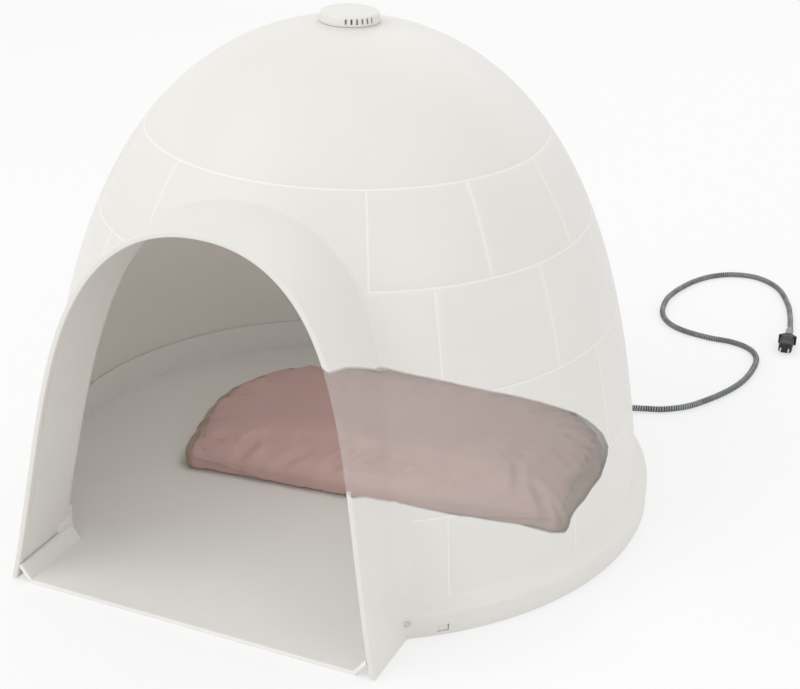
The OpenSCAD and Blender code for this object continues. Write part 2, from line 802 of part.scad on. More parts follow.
module vent_washer() {
    color([0.7, 0.7, 0.71])
        ring(hub_d/2 - 1, vent_screw_d/2 + 0.15, seat_z - 0.9, seat_z - 0.1);
}

// Half of the cover: outer rings from the seam to a pole, inner rings back to the seam
module cover_half(outer, inner, outer_pole, inner_pole, upwards) {
    n = pad_points;
    rings = concat([for (i = [len(inner) - 1:-1:0]) inner[i]], outer);
    points = concat([for (ring = rings, p = ring) p], [inner_pole, outer_pole]);
    faces = concat(
        band_faces(len(rings), n),
        fan_faces(0, n, len(rings)*n, false),
        fan_faces((len(rings) - 1)*n, n, len(rings)*n + 1, true)
    );
    polyhedron(points = points, faces = upwards ? faces : [for (f = faces) [f[2], f[1], f[0]]]);
}

module cover_top() {
    color([0.66, 0.53, 0.51])
        in_cushion()
            cover_half(
                crown_rings(0), crown_rings(cover_t),
                [0, pad_mid, seam_z + pad_crown], [0, pad_mid, seam_z + pad_crown - cover_t], true
            );
}

module cover_bottom() {
    color([0.47, 0.37, 0.33])
        in_cushion()
            difference() {
                cover_half(
                    side_rings(0, concat(side_heights, [floor_z])),
                    side_rings(cover_t, concat(side_heights, [foam_z])),
                    [0, pad_mid, floor_z], [0, pad_mid, foam_z], false
                );
                translate([gland_x, pad_mid, gland_z])
                    rotate([-90, 0, 0])
                        cylinder(h = pad_depth, d = gland_neck_d + 2*layer_play, $fn = 24);
            }
}

// Corners of a strip that lies on the lower panel at an angle of the outline
function strip_ring(a, inner, outer) =
    [for (c = [[inner, zip_low], [outer, zip_low], [outer, zip_high], [inner, zip_high]])
        pad_point(a, 1, side_draw(c[1]) - c[0], c[1])];

module strip(rings) {
    stacked_form(rings, middle(rings[0]), middle(rings[len(rings) - 1]));
}

function middle(ring) = (ring[0] + ring[1] + ring[2] + ring[3])/4;

// Closure tape on the outside of the lower panel
module cover_zip() {
    color([0.25, 0.22, 0.21])
        in_cushion()
            strip([for (a = [zip_last:-zip_step:zip_first]) strip_ring(a, layer_play, layer_play + zip_tape)]);
}

// Pull tab on the last stretch of the tape
module zip_pull() {
    inner = 2*layer_play + zip_tape;
    near = strip_ring(zip_first, inner, inner + pull_t);
    far = strip_ring(zip_first + zip_step, inner, inner + pull_t);
    color([0.55, 0.5, 0.42])
        in_cushion()
            strip([for (t = [0.35, 0.05]) [for (i = [0:3]) near[i] + t*(far[i] - near[i])]]);
}

module base_foam() {
    color([0.9, 0.86, 0.72])
        in_cushion()
            difference() {
                translate([0, 0, foam_z])
                    linear_extrude(base_foam_t)
                        polygon(pad_outline(foam_inset));
                thermostat_blocks(layer_play);
                splice_block(layer_play);
                lead_channel(foam_z);
            }
}

// Strip that is kept free for the lead wires between the splice and the back edge
module lead_channel(z0) {
    w = lead_pitch + lead_d + 2*layer_play;
    z1 = max(z0, gland_z - lead_d/2 - layer_play);
    translate([gland_x - w/2, splice_y, z1])
        cube([w, pad_depth, core_z - z1]);
}

module thermostat_blocks(play) {
    for (x = [-stat_gap/2, stat_gap/2])
        translate([x - stat_l/2 - play, stat_y - stat_w/2 - play, sheet_z - stat_t - play])
            cube([stat_l + 2*play, stat_w + 2*play, stat_t + 2*play]);
}

// Splice between the lead wires and the heating wire, in a window of the sheet
module splice_block(play) {
    translate([gland_x - splice_l/2 - play, splice_y - splice_w/2 - play, splice_top - splice_t - play])
        cube([splice_l + 2*play, splice_w + 2*play, splice_t + play + (play > 0 ? layer_play : 0)]);
}

module heater_sheet() {
    color([0.75, 0.76, 0.78])
        in_cushion()
            difference() {
                translate([0, 0, sheet_z])
                    linear_extrude(sheet_t)
                        polygon(pad_outline(foam_inset + sheet_inset));
                splice_block(layer_play);
                lead_channel(sheet_z - past);
            }
}

module heating_wire() {
    color([0.75, 0.2, 0.15])
        in_cushion()
            tube(heating_route(), wire_d, 6);
}

module thermostats() {
    color([0.2, 0.2, 0.2])
        in_cushion()
            thermostat_blocks(0);
}

module wire_splice() {
    color([0.15, 0.15, 0.16])
        in_cushion()
            splice_block(0);
}

module lead_wires() {
    color([0.1, 0.1, 0.1])
        in_cushion()
            for (x = [-lead_pitch/2, lead_pitch/2])
                translate([gland_x + x, splice_y + splice_w/2, gland_z])
                    rotate([-90, 0, 0])
                        cylinder(h = gland_flange_y - gland_flange_t - splice_y - splice_w/2, d = lead_d, $fn = 24);
}

module foam_core() {
    depth = cover_t + layer_play;
    rings = concat(side_rings(depth, [core_z, (core_z + seam_z)/2]), crown_rings(depth));
    color([0.93, 0.9, 0.78])
        in_cushion()
            difference() {
                stacked_form(rings, [0, pad_mid, core_z], [0, pad_mid, seam_z + pad_crown - depth]);
                translate([gland_x - gland_d/2, gland_flange_y - gland_flange_t - 2, foam_z])
                    cube([gland_d, pad_depth, gland_z + gland_d/2 - foam_z]);
            }
}

module cord_gland() {
    color([0.1, 0.1, 0.11])
        in_cushion()
            translate([gland_x, 0, gland_z])
                rotate([-90, 0, 0]) {
                    translate([0, 0, gland_flange_y - gland_flange_t])
                        cylinder(h = gland_flange_t, d = gland_flange_d);
                    translate([0, 0, gland_flange_y])
                        cylinder(h = gland_start - gland_flange_y, d = gland_neck_d);
                    translate([0, 0, gland_start])
                        cylinder(h = gland_l, d1 = gland_d, d2 = ferrule_d);
                }
}

module armor_ferrule() {
    color([0.6, 0.62, 0.63])
        in_cushion()
            translate([gland_x, gland_start + gland_l, gland_z])
                rotate([-90, 0, 0])
                    cylinder(h = ferrule_l, d = ferrule_d);
}

module supply_cord() {
    color([0.5, 0.53, 0.53])
        tube(smooth(cord_route, cord_limit), cord_d, cord_sides);
}

// Frame of the plug: +X along the lead's last way, from the lead's end
module at_plug() {
    translate(plug_start)
        rotate([0, 0, plug_angle])
            children();
}

module plug_ferrule() {
    color([0.12, 0.12, 0.12])
        at_plug()
            rotate([0, 90, 0])
                cylinder(h = ferrule_l, d = ferrule_d);
}

// Swept flange: a wide V with its point towards the lead
module plug_flange() {
    arm = 3;
    sweep = plug_w/2 + 1;
    translate([0, 0, -plug_t/2])
        linear_extrude(plug_t)
            polygon([
                [0, -2], [0, 2], [sweep, sweep + 2], [sweep + arm, sweep], [arm + 2, 0],
                [sweep + arm, -sweep], [sweep, -sweep - 2]
            ]);
}

module plug_body() {
    corner = 4;
    color([0.09, 0.09, 0.09])
        at_plug()
            translate([ferrule_l, 0, 0]) {
                rotate([0, 90, 0])
                    cylinder(h = plug_neck_l + past, d = plug_t - 5);
                plug_flange();
                translate([plug_neck_l, 0, -plug_t/2])
                    linear_extrude(plug_t)
                        polygon([
                            [0, -plug_w/2 + corner], [corner, -plug_w/2], [plug_l - corner, -plug_w/2],
                            [plug_l, -plug_w/2 + corner], [plug_l, plug_w/2 - corner],
                            [plug_l - corner, plug_w/2], [corner, plug_w/2], [0, plug_w/2 - corner]
                        ]);
            }
}

module plug_blades() {
    color([0.78, 0.76, 0.7])
        at_plug()
            for (y = [-blade_gap/2, blade_gap/2])
                translate([ferrule_l + plug_neck_l + plug_l, y - blade_t/2, -blade_w/2])
                    cube([blade_l, blade_t, blade_w]);
}

dome_shell();
floor_pan();
rim_screws();
vent_collar();
vent_cap();
vent_screw();
vent_washer();
cover_top();
cover_bottom();
cover_zip();
zip_pull();
base_foam();
heater_sheet();
heating_wire();
thermostats();
wire_splice();
lead_wires();
foam_core();
cord_gland();
armor_ferrule();
supply_cord();
plug_ferrule();
plug_body();
plug_blades();
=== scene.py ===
"""Igloo dog bed: a moulded house of two halves with a turning roof vent, and a heated
half-moon cushion on a steel-wound supply lead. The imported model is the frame, and each
piece made here is a surface worked out with numpy that rides on a body of the frame."""
import math

import bpy
import numpy as np
from mathutils import Matrix, Vector


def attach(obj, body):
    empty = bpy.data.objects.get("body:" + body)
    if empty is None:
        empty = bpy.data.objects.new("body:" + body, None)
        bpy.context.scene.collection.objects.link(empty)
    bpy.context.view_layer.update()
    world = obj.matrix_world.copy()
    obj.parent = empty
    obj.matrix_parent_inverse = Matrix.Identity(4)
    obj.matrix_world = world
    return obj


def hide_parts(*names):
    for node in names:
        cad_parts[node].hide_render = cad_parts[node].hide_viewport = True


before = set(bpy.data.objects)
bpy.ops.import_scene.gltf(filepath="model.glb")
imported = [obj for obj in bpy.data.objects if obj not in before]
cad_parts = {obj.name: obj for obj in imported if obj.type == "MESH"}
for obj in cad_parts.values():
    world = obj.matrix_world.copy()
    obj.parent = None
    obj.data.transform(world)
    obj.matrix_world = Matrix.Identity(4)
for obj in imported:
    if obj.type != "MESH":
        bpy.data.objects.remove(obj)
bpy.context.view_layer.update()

bl_info = {
    "name": "Igloo dog bed",
    "version": (1, 0, 0),
    "blender": (4, 5, 0),
    "location": "3D View > Sidebar > Igloo",
    "description": "Dresses the packed igloo dog bed with surfaces and finishes",
    "category": "Add Mesh",
}

MM = 0.001  # shapes are worked out in millimetres
HOUSE, CAP = "house", "vent_cap"

# Dome, in millimetres: radii from the vertical axis and heights above the ground
RIM_R, BAND_IN_R, FOOT_R = 419.0, 415.0, 404.0
DOME_FOOT_Z, DOME_TOP_Z, SEAT_Z, WALL = 33.0, 634.0, 631.17, 4.0
DOME_POWER, DOME_DRAW = 2.3, 0.2
# Doorway arch and its bead
ARCH_HALF, ARCH_H, ARCH_DRAW, BEAD = 238.5, 475.0, 0.437, 6.7
ARCH_RISE, ARCH_WIDE = 2/2.636, 2/2.156
DOOR_Y, DOOR_RAKE, DOOR_BOW = -433.0, 0.063, 17.6
TUNNEL_IN = 0.6  # offset of the tunnel's inner wall from the arch
# Pan beside the tunnel: radius of its upstand, and nearest side of its screw bosses
UPSTAND_R, BOSS_X = 395.6, 230.8
# Rim details: angles from the front of the house, turning towards its right side
SNAP_TURNS, SNAP_HALF, SNAP_Z = (41.8, 156.0, 204.0, 318.2), 7.25, (5.0, 14.5)
NOTCH_TURN, NOTCH_HALF, NOTCH_TOP = 140.0, 9.0, 22.0
SCREW_TURNS, SCREW_Z, RECESS_R, RECESS_FLOOR_R = (35.69, 324.31), 21.5, 4.8, 417.0
# Cushion in its own frame: front edge on the X axis
PAD_HALF, PAD_WIDEST, PAD_BACK = 289.95, 95.0, 248.95
PAD_BACK_POWER, PAD_FRONT_POWER = 2.8, 14.0
PAD_PULL, PAD_MID, PAD_DRAW = -6.0, 154.8, 12.0
PAD_FLOOR, PAD_SEAM, PAD_CROWN = 5.0, 25.0, 27.0
PAD_ROUND, PAD_CLOSE = 2/2.3, 2/3.4
PAD_PLACE, PAD_TURN = (73.0, -70.0), math.radians(6.9)
PAD_TAPER, PAD_TAPER_FROM = 0.069, 160.0
EAR_SIDE, EAR_OUT, EAR_WIDE = 262.0, 9.0, 20.0
COVER_INSET, CORE_INSET, BASE_INSET, CORE_FLOOR, BASE_Z = 0.3, 17, 19.5, 17.6, (6.8, 14.4)
# Folds of the cover: start and end seen from above in the cushion's frame, width and depth
FOLDS = np.array([
    (-26, 18, 20, 46, 8, 5.5), (-6, 14, 24, 32, 5, 3.5), (-62, 4, -24, 58, 10, 4),
    (24, 16, 48, 30, 6, 2.5), (176, 92, 187, 118, 13, 5), (183, 74, 197, 24, 7, 3.5),
    (224, 22, 250, -8, 7, 4), (242, 20, 266, -4, 5, 3.5), (206, 40, 238, 18, 8, 2.5),
    (238, 184, 288, 156, 8, 5), (250, 158, 286, 136, 6, 3.5), (262, 58, 276, 112, 7, 2.5),
    (232, 128, 262, 96, 8, 2), (-286, 150, -222, 158, 11, 2.5), (-276, 60, -214, 92, 13, 1.8),
    (-246, 8, -214, 34, 9, 2.2), (-262, 240, -206, 200, 13, 2), (-176, 318, -146, 250, 14, 3),
    (-92, 340, -84, 288, 12, 2), (34, 344, 26, 286, 12, 2.2), (132, 330, 112, 262, 11, 5),
    (214, 286, 176, 236, 10, 4.5), (268, 232, 222, 214, 9, 4), (-130, 0, -96, 34, 8, 3),
    (90, 0, 106, 28, 8, 2), (-190, 2, -170, 40, 9, 3.5),
], float)
# Hollows that use has pressed in the crown: middle, half widths and depth
HOLLOWS = np.array([(-60, 170, 120, 70, 5), (90, 190, 90, 60, 3.5), (10, 60, 70, 34, 2)], float)
FOLD_SCALE = 1.3
STITCH_STEP, STITCH_LONG, STITCH_R = 6.2, 4.2, 0.45
# Edges of the see-through zone: turn from the front, in radians, and height, in metres
ZONE_TURNS, ZONE_TOP = (0.40, 1.50), 0.4
ZONE_FADE, ZONE_FRONT = (-0.001, 0.003), (0.100, 0.145)
ZONE_INNER = 0.03  # how much further the zone reaches on the inner surface
ZONE_LOW = (
    (0.40, 0.2376), (0.4487, 0.2237), (0.4888, 0.2083), (0.5314, 0.1896), (0.57, 0.1746),
    (0.6083, 0.1647), (0.646, 0.1595), (0.7209, 0.15), (0.7978, 0.1391), (0.831, 0.136),
    (0.998, 0.1112), (1.131, 0.0824), (1.193, 0.074), (1.213, 0.0788), (1.227, 0.0899),
    (1.257, 0.097), (1.302, 0.1019), (1.345, 0.1098), (1.404, 0.1149), (1.463, 0.1342),
    (1.477, 0.1454), (1.50, 0.18))
ZONE_HIGH = (
    (0.40, 0.360), (0.439, 0.352), (0.531, 0.3267), (0.634, 0.3157), (0.717, 0.3076),
    (0.781, 0.3005), (0.873, 0.2888), (0.965, 0.2767), (1.042, 0.2656), (1.124, 0.2518),
    (1.213, 0.2346), (1.287, 0.2192), (1.350, 0.2017), (1.395, 0.1873), (1.443, 0.1696),
    (1.477, 0.1454), (1.50, 0.11))
# Vent cap: its section, and its two groups of slots
CAP_OUTER = np.array([
    (36.9, 633.67), (38.2, 633.67), (38.5, 634.1), (38.4, 636.6), (38.1, 638.5), (37.75, 640.2),
    (37.5, 641.5), (37.25, 642.7), (36.85, 643.6), (35.9, 644.9), (34.3, 645.9), (32.2, 646.4),
    (29, 646.62), (22, 646.76), (12, 646.85), (4, 646.87)])
CAP_INNER = np.array([
    (4, 644.6), (30, 644.6), (35.4, 644.5), (36.1, 643.6), (36.2, 642.7), (36.22, 641.5),
    (36.25, 640.2), (36.28, 638.5), (36.3, 636.6), (36.4, 634.1)])
SLOT_MIDDLE, SLOT_PITCH, SLOT_COUNT, SLOT_HALF = -46.0, 10.6, 6, 1.96
SLOT_Z = (636.6, 643.6)
# Lead: its exit from the end sleeve, the way it leaves and the points that it passes
LEAD_R, LEAD_EXIT_SIDE, LEAD_Z = 4.75, -60.0, 14.5
RELIEF_START, RELIEF_END, SLEEVE_LONG = 0.3, 30.3, 10
PLUG_START, PLUG_TURN = (468.0, 740.0, 9.0), math.radians(-84)
LEAD_POINTS = [
    [-29, 342, 12.5], [-12, 358, 10.5], [12, 364, 9.8], [45, 364, 9.8], [80, 358, 9.8],
    [115, 346, 9.8], [147, 330, 9.8], [173, 313, 9.8], [196, 298, 9.8], [210, 292, 9.8],
    [225, 290, 9.8], [240, 293, 9.8], [255, 304, 9.8], [269, 319, 9.8], [288, 337, 8],
    [309, 352, 6], [332, 363, 5], [357, 374, 4.8], [388, 402, 4.8], [415, 449, 4.8],
    [432, 490, 4.8], [442, 530, 4.8], [445, 575, 4.8], [441, 615, 4.8], [424, 645, 4.8],
    [393, 660, 4.8], [351, 660, 4.8], [306, 669, 4.8], [275, 690, 4.8],
    [255, 727, 4.8], [247, 780, 4.8], [250, 818, 4.8], [258, 853, 4.8], [270, 887, 4.8],
    [292, 923, 4.8], [326, 949, 4.8], [369, 952, 4.8], [410, 920, 4.8], [440, 858, 4.8],
    [455, 806, 5.2], [463, 768, 7.2],
]
# Plug's swept flange seen from above, and where it starts along the plug
PLUG_FLANGE = np.array([[0, -3.2], [0.6, 0], [0, 3.2], [11.5, 14.5], [13.2, 14.2], [14.5, 12.5],
                        [5.6, 0], [14.5, -12.5], [13.2, -14.2], [11.5, -14.5]])
FLANGE_FROM = 26.0
# Camera: azimuth, climb and roll in degrees, lens in millimetres, aim and distance in metres
CAMERA_ANGLES, CAMERA_LENS = (22.772, 24.831, 1.817), 77.78
CAMERA_AIM, CAMERA_AWAY = (0, 0.193556, 0.110678), 2.52015
# Lamps: place in metres, share of the main lamp's power and width in metres
LAMPS = (("main_lamp", (-1.9, -2.2, 3.0), 1.0, 2.6), ("side_lamp", (2.6, -1.2, 2.0), 0.22, 2.4),
         ("back_lamp", (0.3, 3.0, 2.6), 0.35, 2.6))
INNER_LAMP, INNER_LAMP_SIZE, LAMP_AIM = (0.02, -0.02, 0.5), 0.22, (0, 0, 0.25)


# Sizes and colours a user may change
def colour_setting(name, description, default):
    return bpy.props.FloatVectorProperty(
        name=name, description=description, subtype="COLOR", size=3, min=0, max=1, default=default)


def length_setting(name, description, low, high, default):
    return bpy.props.FloatProperty(
        name=name, description=description, unit="LENGTH", min=low, max=high, default=default)


class HouseSettings(bpy.types.PropertyGroup):
    """Sizes and colours of the moulded house."""

    shell_colour: colour_setting(
        "Shell colour", "Colour of the upper moulding", (0.78, 0.76, 0.725))
    clear_cover: bpy.props.FloatProperty(
        name="See-through cover", description="Share of what lies behind it that one face hides "
        "where the right flank is drawn see-through", subtype="FACTOR", min=0, max=1, default=0.175)
    pan_colour: colour_setting("Pan colour", "Colour of the lower moulding", (0.78, 0.765, 0.735))
    groove_depth: length_setting(
        "Groove depth", "Depth of the lines between the blocks", 0, 0.002, 0.0006)
    groove_width: length_setting(
        "Groove width", "Width of the lines between the blocks", 0.001, 0.006, 0.0028)


class CushionSettings(bpy.types.PropertyGroup):
    """Sizes and colours of the heated cushion."""

    top_colour: colour_setting(
        "Top colour", "Colour of the cover's upper panel", (0.56, 0.366, 0.343))
    # Side colour: the lower panel's own browner colour, darkened as painted shade of the sides.
    side_colour_and_shade: colour_setting(
        "Side colour", "Colour of the cover's lower panel", (0.36, 0.265, 0.20))
    swell: length_setting(
        "Swell", "Furthest that the fill moves a point of the cover", 0, 0.02, 0.009)
    voxel: length_setting(
        "Voxel", "Grid of the cover before it is filled", 0.004, 0.01, 0.005)


class LeadSettings(bpy.types.PropertyGroup):
    """Sizes and colours of the supply lead."""

    wound_colour: colour_setting(
        "Wound steel colour", "Colour of the lead's winding", (0.27, 0.295, 0.29))
    wound_pitch: length_setting(
        "Winding pitch", "Distance from turn to turn of the winding", 0.002, 0.006, 0.0038)
    plug_colour: colour_setting("Plug colour", "Colour of the plug", (0.012, 0.012, 0.013))


class StageSettings(bpy.types.PropertyGroup):
    """Light and floor round the object."""

    key_power: bpy.props.FloatProperty(
        name="Main light", description="Power of the large lamp at the upper left, in watts",
        min=0, max=200, default=38)
    world_level: bpy.props.FloatProperty(
        name="Room light", description="Level of the even light from all round",
        min=0, max=2, default=0.84)
    inner_power: bpy.props.FloatProperty(
        name="Inner light", description="Power of the lamp under the crown, in watts",
        min=0, max=20, default=0.55)
    floor_white: bpy.props.FloatProperty(
        name="Floor white", description="Share of plain white in what the camera sees of the floor",
        subtype="FACTOR", min=0, max=1, default=0.6)


# Surfaces
def grid_quads(rows, cols, wrap_rows=False, wrap_cols=True):
    """Quads of a grid of points, shaped (rows, columns, 4): each joins a point with its
    neighbours in the next column and the next row."""
    r = np.arange(rows if wrap_rows else rows - 1)[:, None]
    c = np.arange(cols if wrap_cols else cols - 1)[None, :]
    r2, c2 = (r + 1) % rows, (c + 1) % cols
    return np.stack(np.broadcast_arrays(r*cols + c, r*cols + c2, r2*cols + c2, r2*cols + c), -1)


def fan(first, count, pole, inward=False):
    """Triangles from a ring of points to one pole."""
    a = first + np.arange(count)
    b = first + (np.arange(count) + 1) % count
    corners = [a, b, np.full(count, pole)]
    return np.stack(corners[::-1] if inward else corners, -1)


def outward(points, faces):
    """The same faces, turned over where the form that they close would be inside out: the sum
    of the tetrahedra from the origin to each face is its volume, and has to be above zero."""
    volume = 0.0
    for f in faces:
        p = points[f]
        for k in range(1, f.shape[1] - 1):
            volume += np.einsum("ij,ij->", p[:, 0], np.cross(p[:, k], p[:, k + 1]))
    return faces if volume > 0 else [f[:, ::-1] for f in faces]


def piece(name, parts, material, body, sharp=40, uv=None, marks=None):
    """A mesh object from closed parts, each (points in millimetres, list of face arrays).
    Points that no face uses are left out."""
    all_points, corners, sizes, base = [], [], [], 0
    for points, faces in parts:
        points = np.asarray(points, float).reshape(-1, 3)
        faces = outward(points, [np.asarray(f).reshape(-1, f.shape[-1]) for f in faces])
        used, where = np.unique(np.concatenate([f.ravel() for f in faces]), return_inverse=True)
        corners.append(where + base)
        sizes += [np.full(len(f), f.shape[1]) for f in faces]
        all_points.append(points[used])
        base += len(used)
    corners, sizes = np.concatenate(corners), np.concatenate(sizes)
    mesh = bpy.data.meshes.new(name)
    mesh.vertices.add(base)
    mesh.vertices.foreach_set("co", (np.concatenate(all_points)*MM).astype(np.float32).ravel())
    mesh.loops.add(len(corners))
    mesh.loops.foreach_set("vertex_index", corners.astype(np.int32))
    mesh.polygons.add(len(sizes))
    mesh.polygons.foreach_set("loop_start", (np.cumsum(sizes) - sizes).astype(np.int32))
    mesh.update(calc_edges=True)
    if marks is not None:
        lines = mesh.attributes.new("block_line", "FLOAT", "POINT")
        lines.data.foreach_set("value", marks[used].astype(np.float32))
    if uv is not None:
        layer = mesh.uv_layers.new(name="along")
        layer.data.foreach_set("uv", np.asarray(uv, np.float32)[corners].ravel())
    mesh.shade_smooth()
    mesh.set_sharp_from_angle(angle=math.radians(sharp))
    obj = bpy.data.objects.new(name, mesh)
    bpy.context.scene.collection.objects.link(obj)
    mesh.materials.append(material)
    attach(obj, body)
    return obj


def lathe(profile, sides, place):
    """Closed form turned round the X axis of a place: a ring of points for each (distance along
    the axis, radius) of the profile, with a pole at each end."""
    profile = np.asarray(profile, float)
    turn = 2*np.pi*np.arange(sides)/sides
    ring = np.stack([np.zeros(sides), np.cos(turn), np.sin(turn)], -1)
    points = profile[:, None, 1:2]*ring + np.array([1.0, 0, 0])*profile[:, None, 0:1]
    return closed_rings(points, place)


def closed_rings(points, place=np.asarray):
    """Closed form from rings of points, shaped (rings, points, 3), with a pole in the middle of
    the first and of the last ring, moved to a place."""
    rows, cols = points.shape[:2]
    flat = np.concatenate([points.reshape(-1, 3), points[:1].mean(1), points[-1:].mean(1)])
    faces = [grid_quads(rows, cols).reshape(-1, 4), fan(0, cols, rows*cols, True),
             fan((rows - 1)*cols, cols, rows*cols + 1)]
    return place(flat), faces


def turned_place(origin, angle):
    """Function that moves points from a frame whose X axis is turned by an angle on the floor."""
    c, s = math.cos(angle), math.sin(angle)
    turn = np.array([[c, -s, 0], [s, c, 0], [0, 0, 1]])
    return lambda p: np.asarray(p, float) @ turn.T + np.asarray(origin, float)


in_cushion = turned_place((*PAD_PLACE, 0), PAD_TURN)


def curve_through(points, step):
    """Points a step apart on a smooth curve through given ones: a cubic between each two whose
    slope at a point is half the way from the one before it to the one after it."""
    p = np.asarray(points, float)
    ends = np.concatenate([[2*p[0] - p[1]], p, [2*p[-1] - p[-2]]])
    t = np.linspace(0, 1, 24, endpoint=False)[None, :, None]
    p0, p1, p2, p3 = (ends[i:len(ends) - 3 + i, None, :] for i in range(4))
    curve = 0.5*(2*p1 + (p2 - p0)*t + (2*p0 - 5*p1 + 4*p2 - p3)*t**2 + (3*p1 - p0 - 3*p2 + p3)*t**3)
    curve = np.concatenate([curve.reshape(-1, 3), p[-1:]])
    along = np.concatenate([[0], np.cumsum(np.linalg.norm(np.diff(curve, axis=0), axis=1))])
    at = np.linspace(0, along[-1], int(round(along[-1]/step)) + 1)
    return np.stack([np.interp(at, along, curve[:, k]) for k in range(3)], -1), at


def tube_rings(path, radius, sides, closed=False):
    """Rings round a path: sideways and upward axes square to its direction, times the radius,
    which may differ from point to point of a ring."""
    way = np.roll(path, -1, 0) - np.roll(path, 1, 0) if closed else np.gradient(path, axis=0)
    way /= np.linalg.norm(way, axis=1, keepdims=True)
    side = np.cross([0, 0, 1.0], way)
    side /= np.linalg.norm(side, axis=1, keepdims=True)
    top = np.cross(way, side)
    turn = 2*np.pi*np.arange(sides)/sides
    radius = np.broadcast_to(radius, (len(path), sides))[..., None]
    return path[:, None] + radius*(np.cos(turn)[None, :, None]*side[:, None]
                                   + np.sin(turn)[None, :, None]*top[:, None])


# Finishes
def sum_node(tree, operation, *values):
    """One sum in a node tree on sockets or numbers."""
    made = tree.nodes.new("ShaderNodeMath")
    made.operation = operation
    for socket, value in zip(made.inputs, values):
        if isinstance(value, bpy.types.NodeSocket):
            tree.links.new(value, socket)
        else:
            socket.default_value = value
    return made.outputs[0]


class Finish:
    """A material being made: one Principled shader, with patterns hung on its sockets."""

    def __init__(self, name, colour, roughness, coordinates="Object", **sockets):
        self.material = bpy.data.materials.new(name)
        self.material.use_nodes = True
        self.tree = self.material.node_tree
        self.shader = self.tree.nodes["Principled BSDF"]
        self.shader.inputs["Base Color"].default_value = (*colour, 1)
        self.shader.inputs["Roughness"].default_value = roughness
        for socket, value in sockets.items():
            self.shader.inputs[socket.replace("_", " ")].default_value = value
        self.where = self.node("ShaderNodeTexCoord").outputs[coordinates]

    def node(self, kind, **values):
        made = self.tree.nodes.new(kind)
        for key, value in values.items():
            if key in made.inputs:
                made.inputs[key].default_value = value
            else:
                setattr(made, key, value)
        return made

    def link(self, a, b):
        self.tree.links.new(a, b)

    def stretched(self, scale):
        """Coordinates scaled by three factors, so that a pattern runs along one of them."""
        mapping = self.node("ShaderNodeMapping", Scale=scale)
        self.link(self.where, mapping.inputs["Vector"])
        return mapping.outputs["Vector"]

    def math(self, operation, *values):
        return sum_node(self.tree, operation, *values)

    def fade(self, value, start, end):
        """Smooth climb from 0 at one value to 1 at another."""
        made = self.node("ShaderNodeMapRange", interpolation_type="SMOOTHSTEP",
                         **{"From Min": min(start, end), "From Max": max(start, end),
                            "To Min": float(start > end), "To Max": float(start < end)})
        self.link(value, made.inputs["Value"])
        return made.outputs["Result"]

    def noise(self, scale, detail=3.0, where=None):
        made = self.node("ShaderNodeTexNoise", Scale=scale, Detail=detail)
        self.link(where or self.where, made.inputs["Vector"])
        return made.outputs["Fac"]

    def ramp(self, fac, stops):
        """Colours or greys at places from 0 to 1 of a pattern."""
        made = self.node("ShaderNodeValToRGB")
        elements = made.color_ramp.elements
        for i, (at, colour) in enumerate(stops):
            e = elements[i] if i < 2 else elements.new(at)
            rgb = colour if hasattr(colour, "__len__") else (colour,)*3
            e.position, e.color = at, (*rgb, 1)
        self.link(fac, made.inputs["Fac"])
        return made.outputs["Color"]

    def mixed(self, fac, a, b, blend="MIX"):
        """Two colours or patterns mixed by a third."""
        made = self.node("ShaderNodeMix", data_type="RGBA", blend_type=blend)
        for name, value in (("Factor", fac), ("A", a), ("B", b)):
            for s in [i for i in made.inputs if i.name == name and i.enabled]:
                if isinstance(value, bpy.types.NodeSocket):
                    self.link(value, s)
                else:
                    s.default_value = value if s.type == "VALUE" else (*value, 1)
        return [o for o in made.outputs if o.enabled][0]

    def colour(self, socket):
        self.link(socket, self.shader.inputs["Base Color"])

    def roughness(self, fac, low, high):
        made = self.node("ShaderNodeMapRange", **{"To Min": low, "To Max": high})
        self.link(fac, made.inputs["Value"])
        self.link(made.outputs["Result"], self.shader.inputs["Roughness"])

    def bump(self, height, distance, strength=1.0, under=None):
        """Relief of a pattern, in metres; several are laid over one another."""
        made = self.node("ShaderNodeBump", Distance=distance, Strength=strength)
        self.link(height, made.inputs["Height"])
        if under is not None:
            self.link(under, made.inputs["Normal"])
        self.link(made.outputs["Normal"], self.shader.inputs["Normal"])
        return made.outputs["Normal"]


def tinted(colour, factor):
    """Colour made darker or paler by a factor, at most full."""
    return tuple(min(1.0, c*factor) for c in colour)


def moulded_plastic(name, colour, clear_cover=None):
    """Moulded polyethylene: soft gloss, a fine orange-peel relief and faint flow marks. On the
    shell, the lines between the blocks are painted paler, a painted highlight along them."""
    f = Finish(name, colour, 0.42, Specular_IOR_Level=0.4)
    if clear_cover is not None:
        see_through_flank(f, clear_cover)
    flow = f.noise(5, 4)
    body = f.ramp(flow, [(0.3, tinted(colour, 0.975)), (0.7, tinted(colour, 1.02))])
    if clear_cover is not None:
        # Paler colour along the block lines: a painted highlight.
        line = f.math("MAXIMUM", block_line(f), 0.0)
        body = f.mixed(f.math("MULTIPLY", line, 0.8), body, tinted(colour, 1.2))
    f.colour(body)
    f.roughness(f.noise(60, 2), 0.36, 0.5)
    f.bump(f.noise(420, 2), 0.00012, under=f.bump(f.noise(9, 2), 0.0006))
    return f.material


def block_line(f):
    """Mark of the shell's points: depth share of a block line, or -1 on the inner surface."""
    return f.node("ShaderNodeAttribute", attribute_name="block_line").outputs["Fac"]


